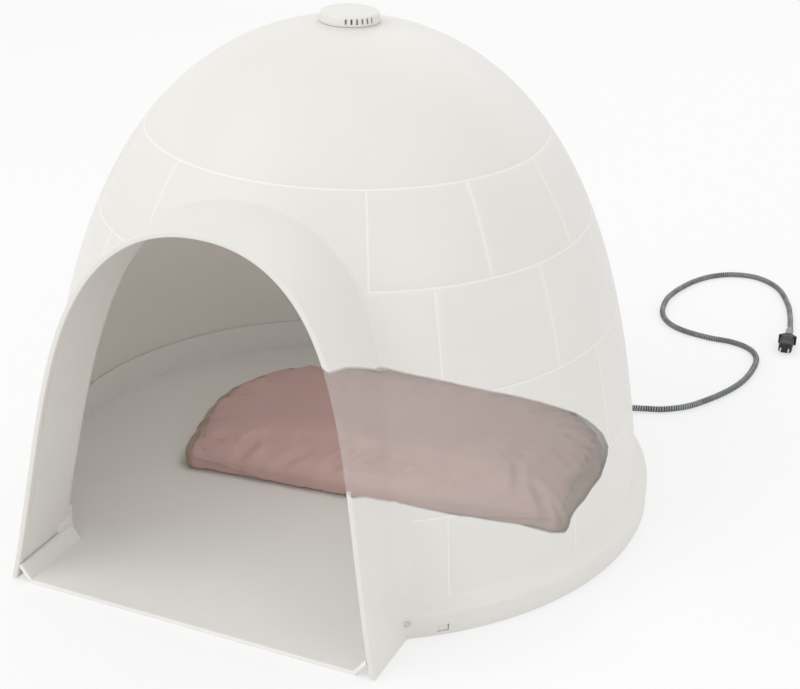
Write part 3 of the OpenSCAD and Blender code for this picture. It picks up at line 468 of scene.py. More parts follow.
def see_through_flank(f, cover):
    """Lets one face of the shell hide only a share of what is behind it in a zone of the right
    flank, where the cushion shows. The zone's lower and upper edge are curves of height over
    the turn from the front, and it ends behind the doorway's bead."""
    axes = f.node("ShaderNodeSeparateXYZ")
    f.link(f.where, axes.inputs["Vector"])
    turn = f.math("ARCTAN2", axes.outputs["X"], f.math("MULTIPLY", axes.outputs["Y"], -1.0))
    first, last = ZONE_TURNS
    share = f.math("DIVIDE", f.math("SUBTRACT", turn, first), last - first)
    edges = []
    for points in (ZONE_LOW, ZONE_HIGH):
        curve = f.node("ShaderNodeFloatCurve")
        line = curve.mapping.curves[0].points
        for i, (at, height) in enumerate(points):
            point = line[i] if i < 2 else line.new(0.5, 0.5)
            point.location = ((at - first)/(last - first), height/ZONE_TOP)
            point.handle_type = "VECTOR"
        curve.mapping.update()
        f.link(share, curve.inputs["Value"])
        edges.append(f.math("MULTIPLY", curve.outputs["Value"], ZONE_TOP))
    inside = f.math("MULTIPLY", f.math("LESS_THAN", block_line(f), -0.5), ZONE_INNER)
    z = axes.outputs["Z"]
    up = f.fade(f.math("ADD", f.math("SUBTRACT", z, edges[0]), inside), *ZONE_FADE)
    down = f.fade(f.math("ADD", f.math("SUBTRACT", edges[1], z), inside), *ZONE_FADE)
    right = f.fade(axes.outputs["X"], *ZONE_FRONT)
    back = f.fade(turn, last, last - 0.01)
    zone = f.math("MULTIPLY", f.math("MULTIPLY", up, down), f.math("MULTIPLY", right, back))
    hidden = f.math("SUBTRACT", 1.0, f.math("MULTIPLY", zone, 1 - cover))
    f.link(hidden, f.shader.inputs["Alpha"])


# Dome and tunnel
def dome_curve(depth, z):
    """Radius of the dome at heights, moved in by a depth: the climb t is the height's share of
    the way to the crown, sin(a) is t to the power 1.15, and the radius is the foot's times
    cos(a) times (1 - draw times t times (1 - t))."""
    t = np.clip((z - DOME_FOOT_Z)/(DOME_TOP_Z - depth - DOME_FOOT_Z), 0, 1)
    rise = t**(DOME_POWER/2)
    return (FOOT_R - depth)*np.sqrt(1 - rise**2)*(1 - DOME_DRAW*t*(1 - t))


def arch_curve(count):
    """Doorway's edge from foot to crown: height share t is sin(a)^(2/2.636) and half width is
    cos(a)^(2/2.156) times (1 - draw times t times (1 - t)), with its outward normals."""
    a = np.linspace(0, np.pi/2, 6000)
    t = np.sin(a)**ARCH_RISE
    x = ARCH_HALF*np.cos(a)**ARCH_WIDE*(1 - ARCH_DRAW*t*(1 - t))
    line = np.stack([x, ARCH_H*t], -1)
    line[-1, 0] = 0
    along = np.concatenate([[0], np.cumsum(np.linalg.norm(np.diff(line, axis=0), axis=1))])
    at = np.linspace(0, along[-1], count)
    line = np.stack([np.interp(at, along, line[:, k]) for k in range(2)], -1)
    way = np.gradient(line, axis=0)
    way[-1] = (-1, 0)
    way[0] = (0, 1)
    normal = np.stack([way[:, 1], -way[:, 0]], -1)
    return line, normal/np.linalg.norm(normal, axis=1, keepdims=True)


ARCH_LINE, ARCH_NORMAL = arch_curve(1500)


def arch_polar(out):
    """Angle and distance from the middle of the floor of the arch moved outwards, for rays."""
    line = ARCH_LINE + out*ARCH_NORMAL
    line = np.concatenate([[[line[0, 0], -30.0]], line])
    return np.arctan2(line[:, 1], line[:, 0]), np.hypot(line[:, 0], line[:, 1])


def tunnel_reach(turn, climb, polar):
    """Distance along rays from the origin to the tunnel's wall: the arch's distance in the plane
    across the tunnel, divided by the share of the ray that lies in that plane."""
    dx, dz = np.abs(np.cos(climb)*np.sin(turn)), np.sin(climb)
    across = np.hypot(dx, dz)
    return np.where(np.cos(turn) > 0.01, np.interp(np.arctan2(dz, dx), *polar)/across, 0)


def soft_max(a, b, k):
    """The larger of two distances, rounded over a difference of k."""
    h = np.clip(0.5 + 0.5*(a - b)/k, 0, 1)
    return b + (a - b)*h + k*h*(1 - h)


def ray_points(turn, climb, reach):
    """Points at distances along rays from the origin, by their turn from the front and climb."""
    return np.stack([reach*np.cos(climb)*np.sin(turn), -reach*np.cos(climb)*np.cos(turn),
                     reach*np.sin(climb)], -1)


def door_y(z):
    """Doorway's set-back at heights: a lean plus a bow that grows with the fourth power."""
    return DOOR_Y + DOOR_RAKE*z + DOOR_BOW*(z/ARCH_H)**4


RING_Z = (142.0, 280.0, 402.0, 503.0)
BLOCK_TURN = 360/13
# Joints of the first and third course, and of the second and fourth
JOINT_TURNS = (43.5 + BLOCK_TURN*np.arange(13)) % 360
JOINT_TURNS_2 = (29.6 + BLOCK_TURN*np.arange(13)) % 360


def near_turn(turn, turns):
    """Smallest turn in degrees from each angle to any of a list."""
    d = np.abs(turn[..., None] - np.asarray(turns)) % 360
    return np.minimum(d, 360 - d).min(-1)


def groove(points, on_dome, width, depth):
    """Points of the dome sunk along their rays where a ring or a joint of the block pattern
    passes, a V of the given width and depth, and each point's share of that depth."""
    r, z = np.hypot(points[..., 0], points[..., 1]), points[..., 2]
    turn = np.degrees(np.arctan2(points[..., 0], -points[..., 1])) % 360
    off = np.min(np.abs(z[..., None] - np.asarray(RING_Z)), -1)
    course = np.digitize(z, (42.0, *RING_Z), right=True)
    odd, even = (course == 1) | (course == 3), (course == 2) | (course == 4)
    for mask, turns in ((odd, JOINT_TURNS), (even, JOINT_TURNS_2)):
        off = np.where(mask, np.minimum(off, np.radians(near_turn(turn, turns))*r), off)
    mark = np.clip(1 - off/(width/2), 0, 1)*on_dome
    return points*(1 - depth*mark/np.linalg.norm(points, axis=-1))[..., None], mark


def dome_rows(depth, width):
    """Heights of the dome's rows, 11 mm apart along its outer curve and 16 mm along the inner
    one, with three rows at each ring of the outer one."""
    z = np.linspace(48, SEAT_Z if depth == 0 else SEAT_Z - WALL, 4000)
    r = dome_curve(depth, z)
    along = np.concatenate([[0], np.cumsum(np.hypot(np.diff(r), np.diff(z)))])
    step = 11 if depth == 0 else 16
    rows = np.interp(np.linspace(0, along[-1], int(along[-1]/step)), along, z)
    if depth:
        return rows
    rings = np.concatenate([[c - width/2, c, c + width/2] for c in RING_Z])
    rows = rows[np.min(np.abs(rows[:, None] - rings), 1) > 4]
    return np.sort(np.concatenate([rows, rings]))


OUTER_FOOT = [(419, 2.2), (419, 5), (419, 14.5), (419, 18), (419, 22), (419, 25.2), (419, 28.5),
              (418.75, 30.2), (418.1, 31.4), (417, 32.2), (415.2, 33.4), (411, 36.1), (407.6, 38.4),
              (405.6, 40), (404.2, 42), (403.2, 44.6)]
INNER_FOOT = [(415, 2.2), (415, 5), (415, 14.5), (415, 18), (415, 22), (415, 27.4), (414.4, 28),
              (411, 28), (407, 31.2), (401.5, 35.2), (400, 37.5)]
SEAT = [(41.2, SEAT_Z), (34, SEAT_Z), (33.3, SEAT_Z - 0.3), (33, SEAT_Z - 1)]
CEILING = [(42, SEAT_Z - WALL), (34, SEAT_Z - WALL), (33.3, SEAT_Z - WALL + 0.3),
           (33, SEAT_Z - WALL + 1)]
# Section of the doorway's bead: outward offset from the arch, and set-back behind its face
BEAD_SECTION = np.array([
    (6.7, 1.3), (6.35, 0.45), (5.8, 0.1), (5.1, 0), (1.7, 0), (0.8, 0.12), (0.2, 0.55), (0, 1.3),
    (0, 5), (0, 8.2), (0.12, 8.8), (0.35, 9.1), (TUNNEL_IN, 9.5)])
BASE_SECTION = np.array([
    (0, 1.7), (0.03, 1.3), (0.09, 1.08), (0.18, 1), (0.3, 1), (0.42, 1), (0.54, 1), (0.66, 1),
    (0.76, 1), (0.85, 1), (0.93, 1.08), (0.98, 1.3), (1, 1.7)])
COMPRESS_FROM = math.radians(61.5)  # rows above this climb are level on every side


def ground_turns():
    """Angles of the shell's columns that end at the ground, from the doorway's right foot round
    the back to its left foot, for the outer and the inner surface. Columns stand at each joint
    of the blocks and at each edge of a rim detail, and close together beside the tunnel."""
    wall_y = np.concatenate([[-431, -428, -424], np.linspace(-418, -356, 11)])
    beside = np.degrees(np.arctan2(ARCH_HALF + BEAD, -wall_y))
    inner_y = wall_y + 9*(1 - (wall_y + 431)/87.5)
    beside_in = np.degrees(np.arctan2(ARCH_HALF + TUNNEL_IN, -inner_y))
    screw = SCREW_TURNS[0] + np.array([-0.66, -0.33, 0, 0.33, 0.66, 0.95])
    corner = np.concatenate([screw, [37.2, 37.9, 38.7]])
    back = np.arange(39.6, 320.5, 1.35)
    joints = [t for t in (*JOINT_TURNS, *JOINT_TURNS_2) if 38 < t < 322]
    special = [t + s*0.2 for t in joints for s in (-1, 0, 1)]
    openings = [(t, SNAP_HALF) for t in SNAP_TURNS] + [(NOTCH_TURN, NOTCH_HALF)]
    special += [t + s*math.degrees(half/RIM_R) for t, half in openings for s in (-1, 1)]
    special = np.array(special)
    back = back[np.min(np.abs(back[:, None] - special), 1) > 0.5]
    middle = np.sort(np.concatenate([back, special]))
    right = np.concatenate([beside, corner])
    right_in = np.concatenate([beside_in, corner - 0.35*np.clip((40 - corner)/4, 0, 1)])
    outer = np.concatenate([right, middle, 360 - right[::-1]])
    inner = np.concatenate([right_in, middle, 360 - right_in[::-1]])
    return np.radians(outer), np.radians(inner)


def door_points(count, out, back):
    """Points along the doorway from its left foot over the top to its right foot, at outward
    offsets from the arch and set-backs behind the face."""
    at = np.linspace(0, len(ARCH_LINE) - 1, count)
    step = np.arange(len(ARCH_LINE))
    line, normal = (np.stack([np.interp(at, step, way[:, k]) for k in range(2)], -1)
                    for way in (ARCH_LINE, ARCH_NORMAL))
    flat = line + out*normal
    z = np.maximum(flat[:, 1], 2.2)
    right = np.stack([flat[:, 0], door_y(z) + back, z], -1)
    left = right[:-1]*[-1, 1, 1]
    return np.concatenate([left, right[::-1]])


def wall_window(index, keep, out_rows, in_rows, c0, c1):
    """Cuts a window through a wall of grid rows: takes out the quads between two columns on the
    outer rows, first to last, and on the inner rows, last to first, and joins the two edges."""
    (o0, o1), (i0, i1) = out_rows, in_rows
    keep[min(o0, o1):max(o0, o1), c0:c1] = False
    keep[min(i0, i1):max(i0, i1), c0:c1] = False

    def edge(a, b):
        step = 1 if b > a else -1
        return np.concatenate([index[a, c0:c1], index[a:b:step, c1],
                               index[b, c1:c0:-1], index[b:a:-step, c0]])

    rim_o, rim_i = edge(o0, o1), edge(i0, i1)
    if len(rim_o) != len(rim_i):
        raise ValueError("a window needs as many rows on the inner wall as on the outer one")
    return np.stack([rim_o, np.roll(rim_o, -1), np.roll(rim_i, -1), rim_i], -1)


def shell_sheet(profile, turns, door, polar, fillet):
    """One surface of the shell, rows from the crown down: on the ray of each column and row, the
    larger of the distances to the dome's profile and to the tunnel's wall. Columns that end at
    the doorway have their rows drawn together above its edge."""
    climb_rows = np.arctan2(profile[:, 1], profile[:, 0])
    reach_rows = np.hypot(profile[:, 0], profile[:, 1])
    door_turn = np.arctan2(door[:, 0], -door[:, 1])
    door_climb = np.arctan2(door[:, 2], np.hypot(door[:, 0], door[:, 1]))
    turn = np.concatenate([turns, door_turn])
    low = np.concatenate([np.full(len(turns), climb_rows[-1]), door_climb])
    share = np.clip((COMPRESS_FROM - climb_rows)/(COMPRESS_FROM - climb_rows[-1]), 0, 1)
    drawn = COMPRESS_FROM - share[:, None]*(COMPRESS_FROM - low)
    climb = np.where(share[:, None] > 0, drawn, climb_rows[:, None])
    turn = np.broadcast_to(turn, climb.shape)
    dome = np.interp(climb, climb_rows[::-1], reach_rows[::-1])
    tunnel = tunnel_reach(turn, climb, polar)
    k = np.interp(np.degrees(climb), *fillet)
    return ray_points(turn, climb, soft_max(dome, tunnel, k)), dome > tunnel + k


def shell_form(width, depth):
    """The whole upper moulding as one closed form: the outer surface down, round the doorway's
    bead or the base, the inner surface up and through the crown's hole. Windows, notch and
    screw recesses are cut where their columns and rows stand."""
    outer_z, inner_z = dome_rows(0, width), dome_rows(WALL, width)
    outer_profile, inner_profile = (
        np.concatenate([foot, np.stack([dome_curve(d, z), z], -1), top])[::-1]
        for foot, d, z, top in ((OUTER_FOOT, 0, outer_z, SEAT),
                                (INNER_FOOT, WALL, inner_z, CEILING)))
    turns, turns_in = ground_turns()
    count = 71
    door_out, door_in = door_points(count, BEAD, 2.2), door_points(count, TUNNEL_IN, 11)
    outer, on_dome = shell_sheet(outer_profile, turns, door_out, arch_polar(BEAD),
                                 ([4, 6, 12, 25, 40, 60], [3, 12, 26, 16, 8, 5]))
    outer, mark = groove(outer, on_dome, width, depth)
    inner, _ = shell_sheet(inner_profile, turns_in, door_in, arch_polar(TUNNEL_IN),
                           ([0, 90], [2, 2]))
    a, b = outer[-1, :len(turns)], inner[-1, :len(turns)]
    base = a + BASE_SECTION[:, 0, None, None]*(b - a)
    base[..., 2] = BASE_SECTION[:, 1, None]
    bead = np.stack([door_points(count, o, s) for o, s in BEAD_SECTION])
    rows = np.concatenate([outer, np.concatenate([base, bead], 1), inner[::-1]])
    n, cols = rows.shape[:2]
    quads = grid_quads(n, cols, wrap_rows=True)
    keep = np.ones(quads.shape[:2], bool)
    index = np.arange(n*cols).reshape(n, cols)
    extra = []
    none = np.tile([0, -1], (len(BASE_SECTION), 1))
    profile_r, profile_z = np.concatenate([outer_profile, none, inner_profile[::-1]]).T

    def row(r, z):
        return int(np.argmin(np.abs(profile_r - r) + np.abs(profile_z - z)))

    def column(t):
        return int(np.argmin(np.abs(np.degrees(turns) - t)))

    for t in SNAP_TURNS:
        half = math.degrees(SNAP_HALF/RIM_R)
        c0, c1 = column(t - half), column(t + half)
        o1, o0 = row(RIM_R, SNAP_Z[1]), row(RIM_R, SNAP_Z[0])
        i1, i0 = row(BAND_IN_R, SNAP_Z[1]), row(BAND_IN_R, SNAP_Z[0])
        extra.append(wall_window(index, keep, (o1, o0), (i1, i0), c0, c1))
    half = math.degrees(NOTCH_HALF/RIM_R)
    c0, c1 = column(NOTCH_TURN - half), column(NOTCH_TURN + half)
    o, i = row(RIM_R, NOTCH_TOP), row(BAND_IN_R, NOTCH_TOP)
    keep[o:i, c0:c1] = False
    top_o, top_i = index[o, c0:c1 + 1], index[i, c0:c1 + 1]
    extra.append(np.stack([top_o[:-1], top_o[1:], top_i[1:], top_i[:-1]], -1))
    for c, flip in ((c0, False), (c1, True)):
        run = index[o:i + 1, c]
        m = len(run)//2
        side = np.stack([run[:m - 1], run[1:m], run[::-1][1:m], run[::-1][:m - 1]], -1)
        extra.append(side if flip else side[:, ::-1])
        if len(run) % 2:
            mid = run[[m - 1, m, m + 1]]
            extra.append(np.array([mid[[0, 1, 2, 2]]]) if flip else np.array([mid[[2, 1, 0, 0]]]))
    points = [rows.reshape(-1, 3)]
    base_count = n*cols
    for t in SCREW_TURNS:
        t0, t1 = (t - 0.66, t + 0.95) if t < 180 else (t - 0.95, t + 0.66)
        c0, c1 = column(t0), column(t1)
        r0, r1 = row(RIM_R, 28.5), row(RIM_R, SNAP_Z[1])
        keep[r0:r1, c0:c1] = False
        ring = np.concatenate([index[r0, c0:c1], index[r0:r1, c1],
                               index[r1, c1:c0:-1], index[r1:r0:-1, c0]])
        p = points[0][ring]
        across = np.radians(np.degrees(np.arctan2(p[:, 0], -p[:, 1])) % 360 - t)*RIM_R
        angle = np.arctan2(p[:, 2] - SCREW_Z, across)
        circles = []
        for r, wider in ((RIM_R + 0.2, 0.2), (RIM_R - 0.2, -0.2), (RECESS_FLOOR_R, -0.3)):
            radius = RECESS_R + wider
            turn = math.radians(t) + radius*np.cos(angle)/RIM_R
            z = SCREW_Z + radius*np.sin(angle)
            circles.append(np.stack([r*np.sin(turn), -r*np.cos(turn), z], -1))
        m = len(ring)
        first = base_count + sum(len(x) for x in points[1:])
        points += [*circles, circles[-1].mean(0)[None]]
        rings = [ring] + [first + m*j + np.arange(m) for j in range(3)]
        for x, y in zip(rings[:-1], rings[1:]):
            extra.append(np.stack([x, np.roll(x, -1), np.roll(y, -1), y], -1))
        extra.append(fan(first + 2*m, m, first + 3*m))
    quads = quads[keep]
    tris = [f for f in extra if f.shape[1] == 3]
    points = np.concatenate(points)
    marks = np.concatenate([mark.ravel(), np.zeros(len(base)*cols), np.full(len(inner)*cols, -1.0)])
    marks = np.concatenate([marks, np.zeros(len(points) - len(marks))])
    return points, [quads, *[f for f in extra if f.shape[1] == 4], *tris], marks


# Cushion outline and forms
def pad_outline(count):
    """Cushion's outline, points evenly spaced: the distance from its widest line's middle at an
    angle is that of a superellipse, low in power behind the line and high in front of it. The
    front bulges between its corners by PAD_PULL times (1 - x squared), the sides taper towards
    it, and each front corner sticks out by a small Gaussian ear."""
    a = np.linspace(0, 2*np.pi, 40001)[:-1]
    c, s = np.abs(np.cos(a)), np.abs(np.sin(a))
    back = np.sin(a) >= 0
    power = np.where(back, PAD_BACK_POWER, PAD_FRONT_POWER)
    deep = np.where(back, PAD_BACK, PAD_WIDEST)
    r = ((c/PAD_HALF)**power + (s/deep)**power)**(-1/power)
    x, y = r*np.cos(a), PAD_WIDEST + r*np.sin(a)
    y += np.where(back, 0, PAD_PULL*(1 - (x/PAD_HALF)**2))
    x *= 1 - PAD_TAPER*(np.clip(PAD_TAPER_FROM - y, 0, None)/PAD_TAPER_FROM)**1.3
    y -= np.where(back, 0, EAR_OUT*np.exp(-((np.abs(x) - EAR_SIDE)/EAR_WIDE)**2))
    line = np.stack([x, y], -1)
    line = np.concatenate([line, line[:1]])
    along = np.concatenate([[0], np.cumsum(np.linalg.norm(np.diff(line, axis=0), axis=1))])
    at = np.linspace(0, along[-1], count + 1)[:-1]
    return np.stack([np.interp(at, along, line[:, k]) for k in range(2)], -1)


def pad_rings(outline, shares, insets, heights):
    """Rings of the cushion: the outline drawn towards the middle by a share, moved in by an
    inset, at a height."""
    d = outline - [0, PAD_MID]
    d = d/np.linalg.norm(d, axis=1, keepdims=True)*(
        np.linalg.norm(d, axis=1) - np.reshape(insets, (len(insets), -1)))[..., None]
    d = d*np.asarray(shares, float)[:, None, None]
    z = np.broadcast_to(np.asarray(heights, float)[:, None, None], d.shape[:2] + (1,))
    return np.concatenate([d + [0, PAD_MID], z], -1)


def side_draw(z, outline):
    """How far the sides draw in at heights, rings by points: with the square of the way down
    from the seam, and hardly on the front, which bulges."""
    front = 1 - 0.85*smooth_step(outline[:, 1], 70, 10)
    return PAD_DRAW*front*((PAD_SEAM - np.reshape(z, (-1, 1)))/(PAD_SEAM - PAD_FLOOR))**2


def pad_form(inset, floor, top_steps=9):
    """Whole cushion as a closed form, moved in by an inset, from a floor height: flat below,
    sides that draw in towards the floor, a seam line and a crown above it."""
    outline = pad_outline(240)
    under = np.array([0.25, 0.5, 0.72, 0.88, 0.96])
    z = np.linspace(floor, PAD_SEAM, 6)
    a = np.radians(90*np.arange(1, top_steps)/top_steps)
    crown = PAD_SEAM + (PAD_CROWN - inset)*np.sin(a)**PAD_ROUND
    rings = np.concatenate([
        pad_rings(outline, under, inset + side_draw(np.full(5, floor), outline), np.full(5, floor)),
        pad_rings(outline, np.ones(6), inset + side_draw(z, outline), z),
        pad_rings(outline, np.cos(a)**PAD_CLOSE, np.full(len(a), inset), crown)])
    rings[-1, :, 2] = crown[-1]
    return closed_rings(rings, in_cushion)


def pad_slab(inset, low, high):
    """Flat slab inside the cushion: its outline moved in, between two heights."""
    outline = pad_outline(240)
    shares = [0.5, 0.9, 1, 1, 0.9, 0.5]
    return closed_rings(pad_rings(outline, shares, [inset]*6, [low]*3 + [high]*3), in_cushion)


# Operators
def replace(obj, *nodes, slot=None):
    """Hides the CAD nodes that a piece stands for. The slot is not used."""
    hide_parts(*nodes)
    return obj


def dress(node, material):
    """Gives a CAD node a finish."""
    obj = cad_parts[node]
    obj.data.materials.clear()
    obj.data.materials.append(material)
    for p in obj.data.polygons:
        p.material_index = 0


class IGLOO_OT_camera(bpy.types.Operator):
    """Camera at the photograph's place"""

    bl_idname = "igloo.camera"
    bl_label = "Camera"

    def execute(self, context):
        azimuth, climb, roll = (math.radians(a) for a in CAMERA_ANGLES)
        level = math.cos(climb)
        back = Vector((math.sin(azimuth)*level, -math.cos(azimuth)*level, math.sin(climb)))
        right = Vector((math.cos(azimuth), math.sin(azimuth), 0))
        up = back.cross(right)
        c, s = math.cos(roll), math.sin(roll)
        right, up = c*right + s*up, -s*right + c*up
        camera = bpy.data.objects.new("camera", bpy.data.cameras.new("camera"))
        camera.data.lens = CAMERA_LENS
        camera.data.sensor_width = 36
        camera.data.sensor_fit = "HORIZONTAL"
        place = Matrix((right, up, back)).transposed().to_4x4()
        place.translation = Vector(CAMERA_AIM) + back*CAMERA_AWAY
        camera.matrix_world = place
        context.scene.collection.objects.link(camera)
        context.scene.camera = camera
        return {"FINISHED"}


def lead_exit(past):
    """Point on the lead's axis at a distance past the cushion's back edge, a superellipse."""
    share = (abs(LEAD_EXIT_SIDE)/PAD_HALF)**PAD_BACK_POWER
    back = PAD_WIDEST + PAD_BACK*(1 - share)**(1/PAD_BACK_POWER)
    return in_cushion([[LEAD_EXIT_SIDE, back + past, LEAD_Z]])[0]


class IGLOO_OT_lead(bpy.types.Operator):
    """Steel-wound supply lead with its plug"""

    bl_idname = "igloo.lead"
    bl_label = "Supply lead"

    def execute(self, context):
        s = context.scene.igloo_lead
        sleeve = lead_exit(RELIEF_END)
        way = np.array([-math.sin(PAD_TURN), math.cos(PAD_TURN), 0])
        start = sleeve + SLEEVE_LONG*way
        plug_way = np.array([math.cos(PLUG_TURN), math.sin(PLUG_TURN), 0])
        end = np.array(PLUG_START)
        stub = 2*LEAD_R  # straight at both ends
        route = np.concatenate([[start, start + stub*way], LEAD_POINTS, [end - stub*plug_way, end]])
        pitch = s.wound_pitch/MM
        path, at = curve_through(route, pitch/6)
        sides = 14
        phase = at[:, None]/pitch + np.arange(sides)[None, :]/sides
        ridge = np.sqrt(np.abs(np.sin(np.pi*phase)))
        rings = tube_rings(path, LEAD_R - 0.9 + 0.9*ridge, sides)
        points, faces = closed_rings(rings)
        along = np.broadcast_to(at[:, None]*MM, phase.shape)
        uv = np.concatenate([np.stack([phase, along], -1).reshape(-1, 2), np.zeros((2, 2))])
        lead = piece("lead", [(points, faces)], wound_steel(s), HOUSE, 75, uv)
        replace(lead, "supply_cord", slot="wound_steel")
        plug = plug_pieces(s)
        return {"FINISHED"}


def wound_steel(s):
    """Steel winding: turns with painted shade in the gaps between them, read from the lead's own
    coordinates, and a dull sheen that varies along it."""
    f = Finish("wound_steel", s.wound_colour, 0.34, "UV", Metallic=0.85)
    parts = f.node("ShaderNodeSeparateXYZ")
    f.link(f.where, parts.inputs["Vector"])
    turn = f.math("FRACT", parts.outputs["X"])
    dull = f.noise(40, 3, f.node("ShaderNodeTexCoord").outputs["Object"])
    steel = f.ramp(dull, [(0.35, tinted(s.wound_colour, 0.8)),
                          (0.65, tinted(s.wound_colour, 1.25))])
    # Painted shade: nearly black in the gaps between the turns, over the winding's valleys.
    gap_shade = f.ramp(turn, [(0.0, 1.0), (1.0, 1.0), (0.16, 1.0), (0.26, 0.0), (0.74, 0.0),
                         (0.84, 1.0)])
    f.colour(f.mixed(gap_shade, steel, tinted(s.wound_colour, 0.06)))
    f.roughness(dull, 0.2, 0.36)
    return f.material


def closed_plate(outline, half, place):
    """Flat closed plate of an outline, from half its thickness below to half above."""
    n = len(outline)
    points = np.concatenate([np.column_stack([outline, np.full(n, h)]) for h in (-half, half)])
    caps = [np.arange(n)[None, ::-1], n + np.arange(n)[None]]
    return place(points), [grid_quads(2, n).reshape(-1, 4), *caps]


def plug_pieces(s):
    """Plug at the lead's end: a steel collar, a grey neck with rings, a swept flange and a ribbed
    body whose sections are superellipses, and the frame's own blades."""
    rubber = black_rubber("plug_rubber", s.plug_colour)
    grey = black_rubber("neck_rubber", tinted(s.wound_colour, 0.8))
    steel = plain_steel("collar_steel", s.wound_colour)
    place = turned_place(PLUG_START, PLUG_TURN)
    collar = [(0, 0.1), (0, 5.2), (0.5, 6), (1.2, 6.25), (4, 6.25), (4.6, 5.7), (5.6, 5.7),
              (6.2, 6.25), (9.2, 6.25), (10, 5.6), (10, 0.1)]
    ferrule = piece("plug_collar", [lathe(collar, 28, place)], steel, HOUSE)
    replace(ferrule, "plug_ferrule", slot="black_plastic")
    neck_x = np.linspace(10, 35.5, 52)
    ring = 0.55*np.cos(2*np.pi*(neck_x - 14)/4.2)*((neck_x > 17) & (neck_x < 32))
    neck = np.stack([neck_x, 6.4 - 0.5*np.abs(ring)], -1)
    neck = np.concatenate([[[10, 0.1], [10, 5.4]], neck, [[35.5, 0.1]]])
    neck_piece = piece("plug_neck", [lathe(neck, 32, place)], grey, HOUSE, 50)
    x = np.concatenate([[34, 34, 34.6, 36, 38], np.linspace(40, 66, 66),
                        [68, 71, 73.5, 74.6, 75, 75]])
    grip = 0.7*np.clip(np.sin(2*np.pi*(x - 40)/4.3), -0.2, 1)*((x > 42) & (x < 64))
    at = [34, 36, 44, 60, 70, 73, 75]
    half_w = np.interp(x, at, [8, 10.2, 11, 10.6, 11, 10.6, 9.4]) - grip
    half_t = np.interp(x, at, [6.4, 8.2, 9, 8.4, 8.8, 8.4, 7.2]) - 0.4*grip
    half_w[[0, -1]] = half_t[[0, -1]] = 0.3
    turn = 2*np.pi*np.arange(44)/44
    round_way = np.stack([np.cos(turn), np.sin(turn)], -1)
    shape = np.sign(round_way)*np.abs(round_way)**0.45
    body = np.stack([np.broadcast_to(x[:, None], (len(x), 44)), half_w[:, None]*shape[:, 0],
                     half_t[:, None]*shape[:, 1]], -1)
    flange = [closed_plate(PLUG_FLANGE + [FLANGE_FROM, 0], 7.5, place)]
    grip_piece = piece("plug_grip", [closed_rings(body, place), *flange], rubber, HOUSE, 50)
    bevel = grip_piece.modifiers.new("soft_edges", "BEVEL")
    bevel.width, bevel.segments = 0.0009, 2
    bevel.limit_method, bevel.angle_limit = "ANGLE", math.radians(50)
    replace(grip_piece, "plug_body", slot="black_plastic")
    brass = Finish("blade_metal", (0.75, 0.72, 0.62), 0.24, Metallic=1.0)
    brushed = brass.noise(900, 2, brass.stretched((0.1, 1, 1)))
    brass.roughness(brushed, 0.2, 0.34)
    brass.bump(brushed, 0.00005)
    dress("plug_blades", brass.material)
    return [ferrule, neck_piece, grip_piece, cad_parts["plug_blades"]]


def black_rubber(name, colour):
    """Black moulded rubber: dull, with a fine pitted relief and greyer wear."""
    f = Finish(name, colour, 0.5, Specular_IOR_Level=0.45)
    worn = f.noise(90, 4)
    f.colour(f.ramp(worn, [(0.35, colour), (0.75, tinted(colour, 2.4))]))
    f.roughness(worn, 0.4, 0.62)
    f.bump(f.noise(1100, 2), 0.00012)
    return f.material


def plain_steel(name, colour):
    """Drawn steel with a faint spangle."""
    f = Finish(name, colour, 0.35, Metallic=1.0)
    spangle = f.noise(300, 3)
    f.colour(f.ramp(spangle, [(0.3, tinted(colour, 0.85)), (0.7, tinted(colour, 1.12))]))
    f.roughness(spangle, 0.25, 0.45)
    f.bump(spangle, 0.00005)
    return f.material


class IGLOO_OT_shell(bpy.types.Operator):
    """Upper moulding: dome, entrance tunnel and rim"""

    bl_idname = "igloo.shell"
    bl_label = "Shell"

    def execute(self, context):
        s = context.scene.igloo_house
        plastic = moulded_plastic("shell_plastic", s.shell_colour, s.clear_cover)
        points, faces, marks = shell_form(s.groove_width/MM, s.groove_depth/MM)
        shell = piece("shell", [(points, faces)], plastic, HOUSE, 32, marks=marks)
        replace(shell, "dome_shell", slot="shell_plastic")
        return {"FINISHED"}


class IGLOO_OT_pan(bpy.types.Operator):
    """Lower moulding and the screws that hold it"""

    bl_idname = "igloo.pan"
    bl_label = "Floor pan"

    def execute(self, context):
        s = context.scene.igloo_house
        dress("floor_pan", moulded_plastic("pan_plastic", s.pan_colour))
        plastic = moulded_plastic("pan_corner", s.pan_colour)
        piece("pan_corners", [pan_corner(-1), pan_corner(1)], plastic, HOUSE, 50)
        # The lip's plastic is made paler than the pan's: a painted highlight along the front edge.
        paler = moulded_plastic("pan_edge_highlight", tinted(s.pan_colour, 1.15))
        piece("pan_lip", [pan_lip()], paler, HOUSE, 30)
        zinc = plain_steel("zinc_steel", (0.6, 0.61, 0.62))
        for node in ("rim_screws", "vent_screw", "vent_washer"):
            dress(node, zinc)
        return {"FINISHED"}


def pan_corner(side):
    """Wall of the pan that closes the corner between the tunnel's wall and the upstand: it
    follows the arch's lean, one millimetre outside its edge, and swells round the screw boss."""
    z = np.array([3, 10, 16, 20, 22, 24, 26, 28, 30, 32, 34, 37, 41, 46, 50.2])
    share = np.linspace(0, 1, 24)[:, None]
    half = np.interp(z, ARCH_LINE[:, 1], ARCH_LINE[:, 0])
    back = -np.sqrt(UPSTAND_R**2 - (half + 1)**2)
    y = -375 + share*(back + 375)
    swell = smooth_step(z, 36, 29.5)*smooth_step(y, -352, -338)
    inner = half + 1 - np.clip(half + 1 - BOSS_X, 0, None)*swell
    outer = np.broadcast_to(half + 3.6, inner.shape)
    z = np.broadcast_to(z, inner.shape)
    near, far = (np.stack([side*x, y, z], -1) for x in (inner, outer))
    ring = np.concatenate([near, far[:, ::-1]], 1)
    return closed_rings(ring)


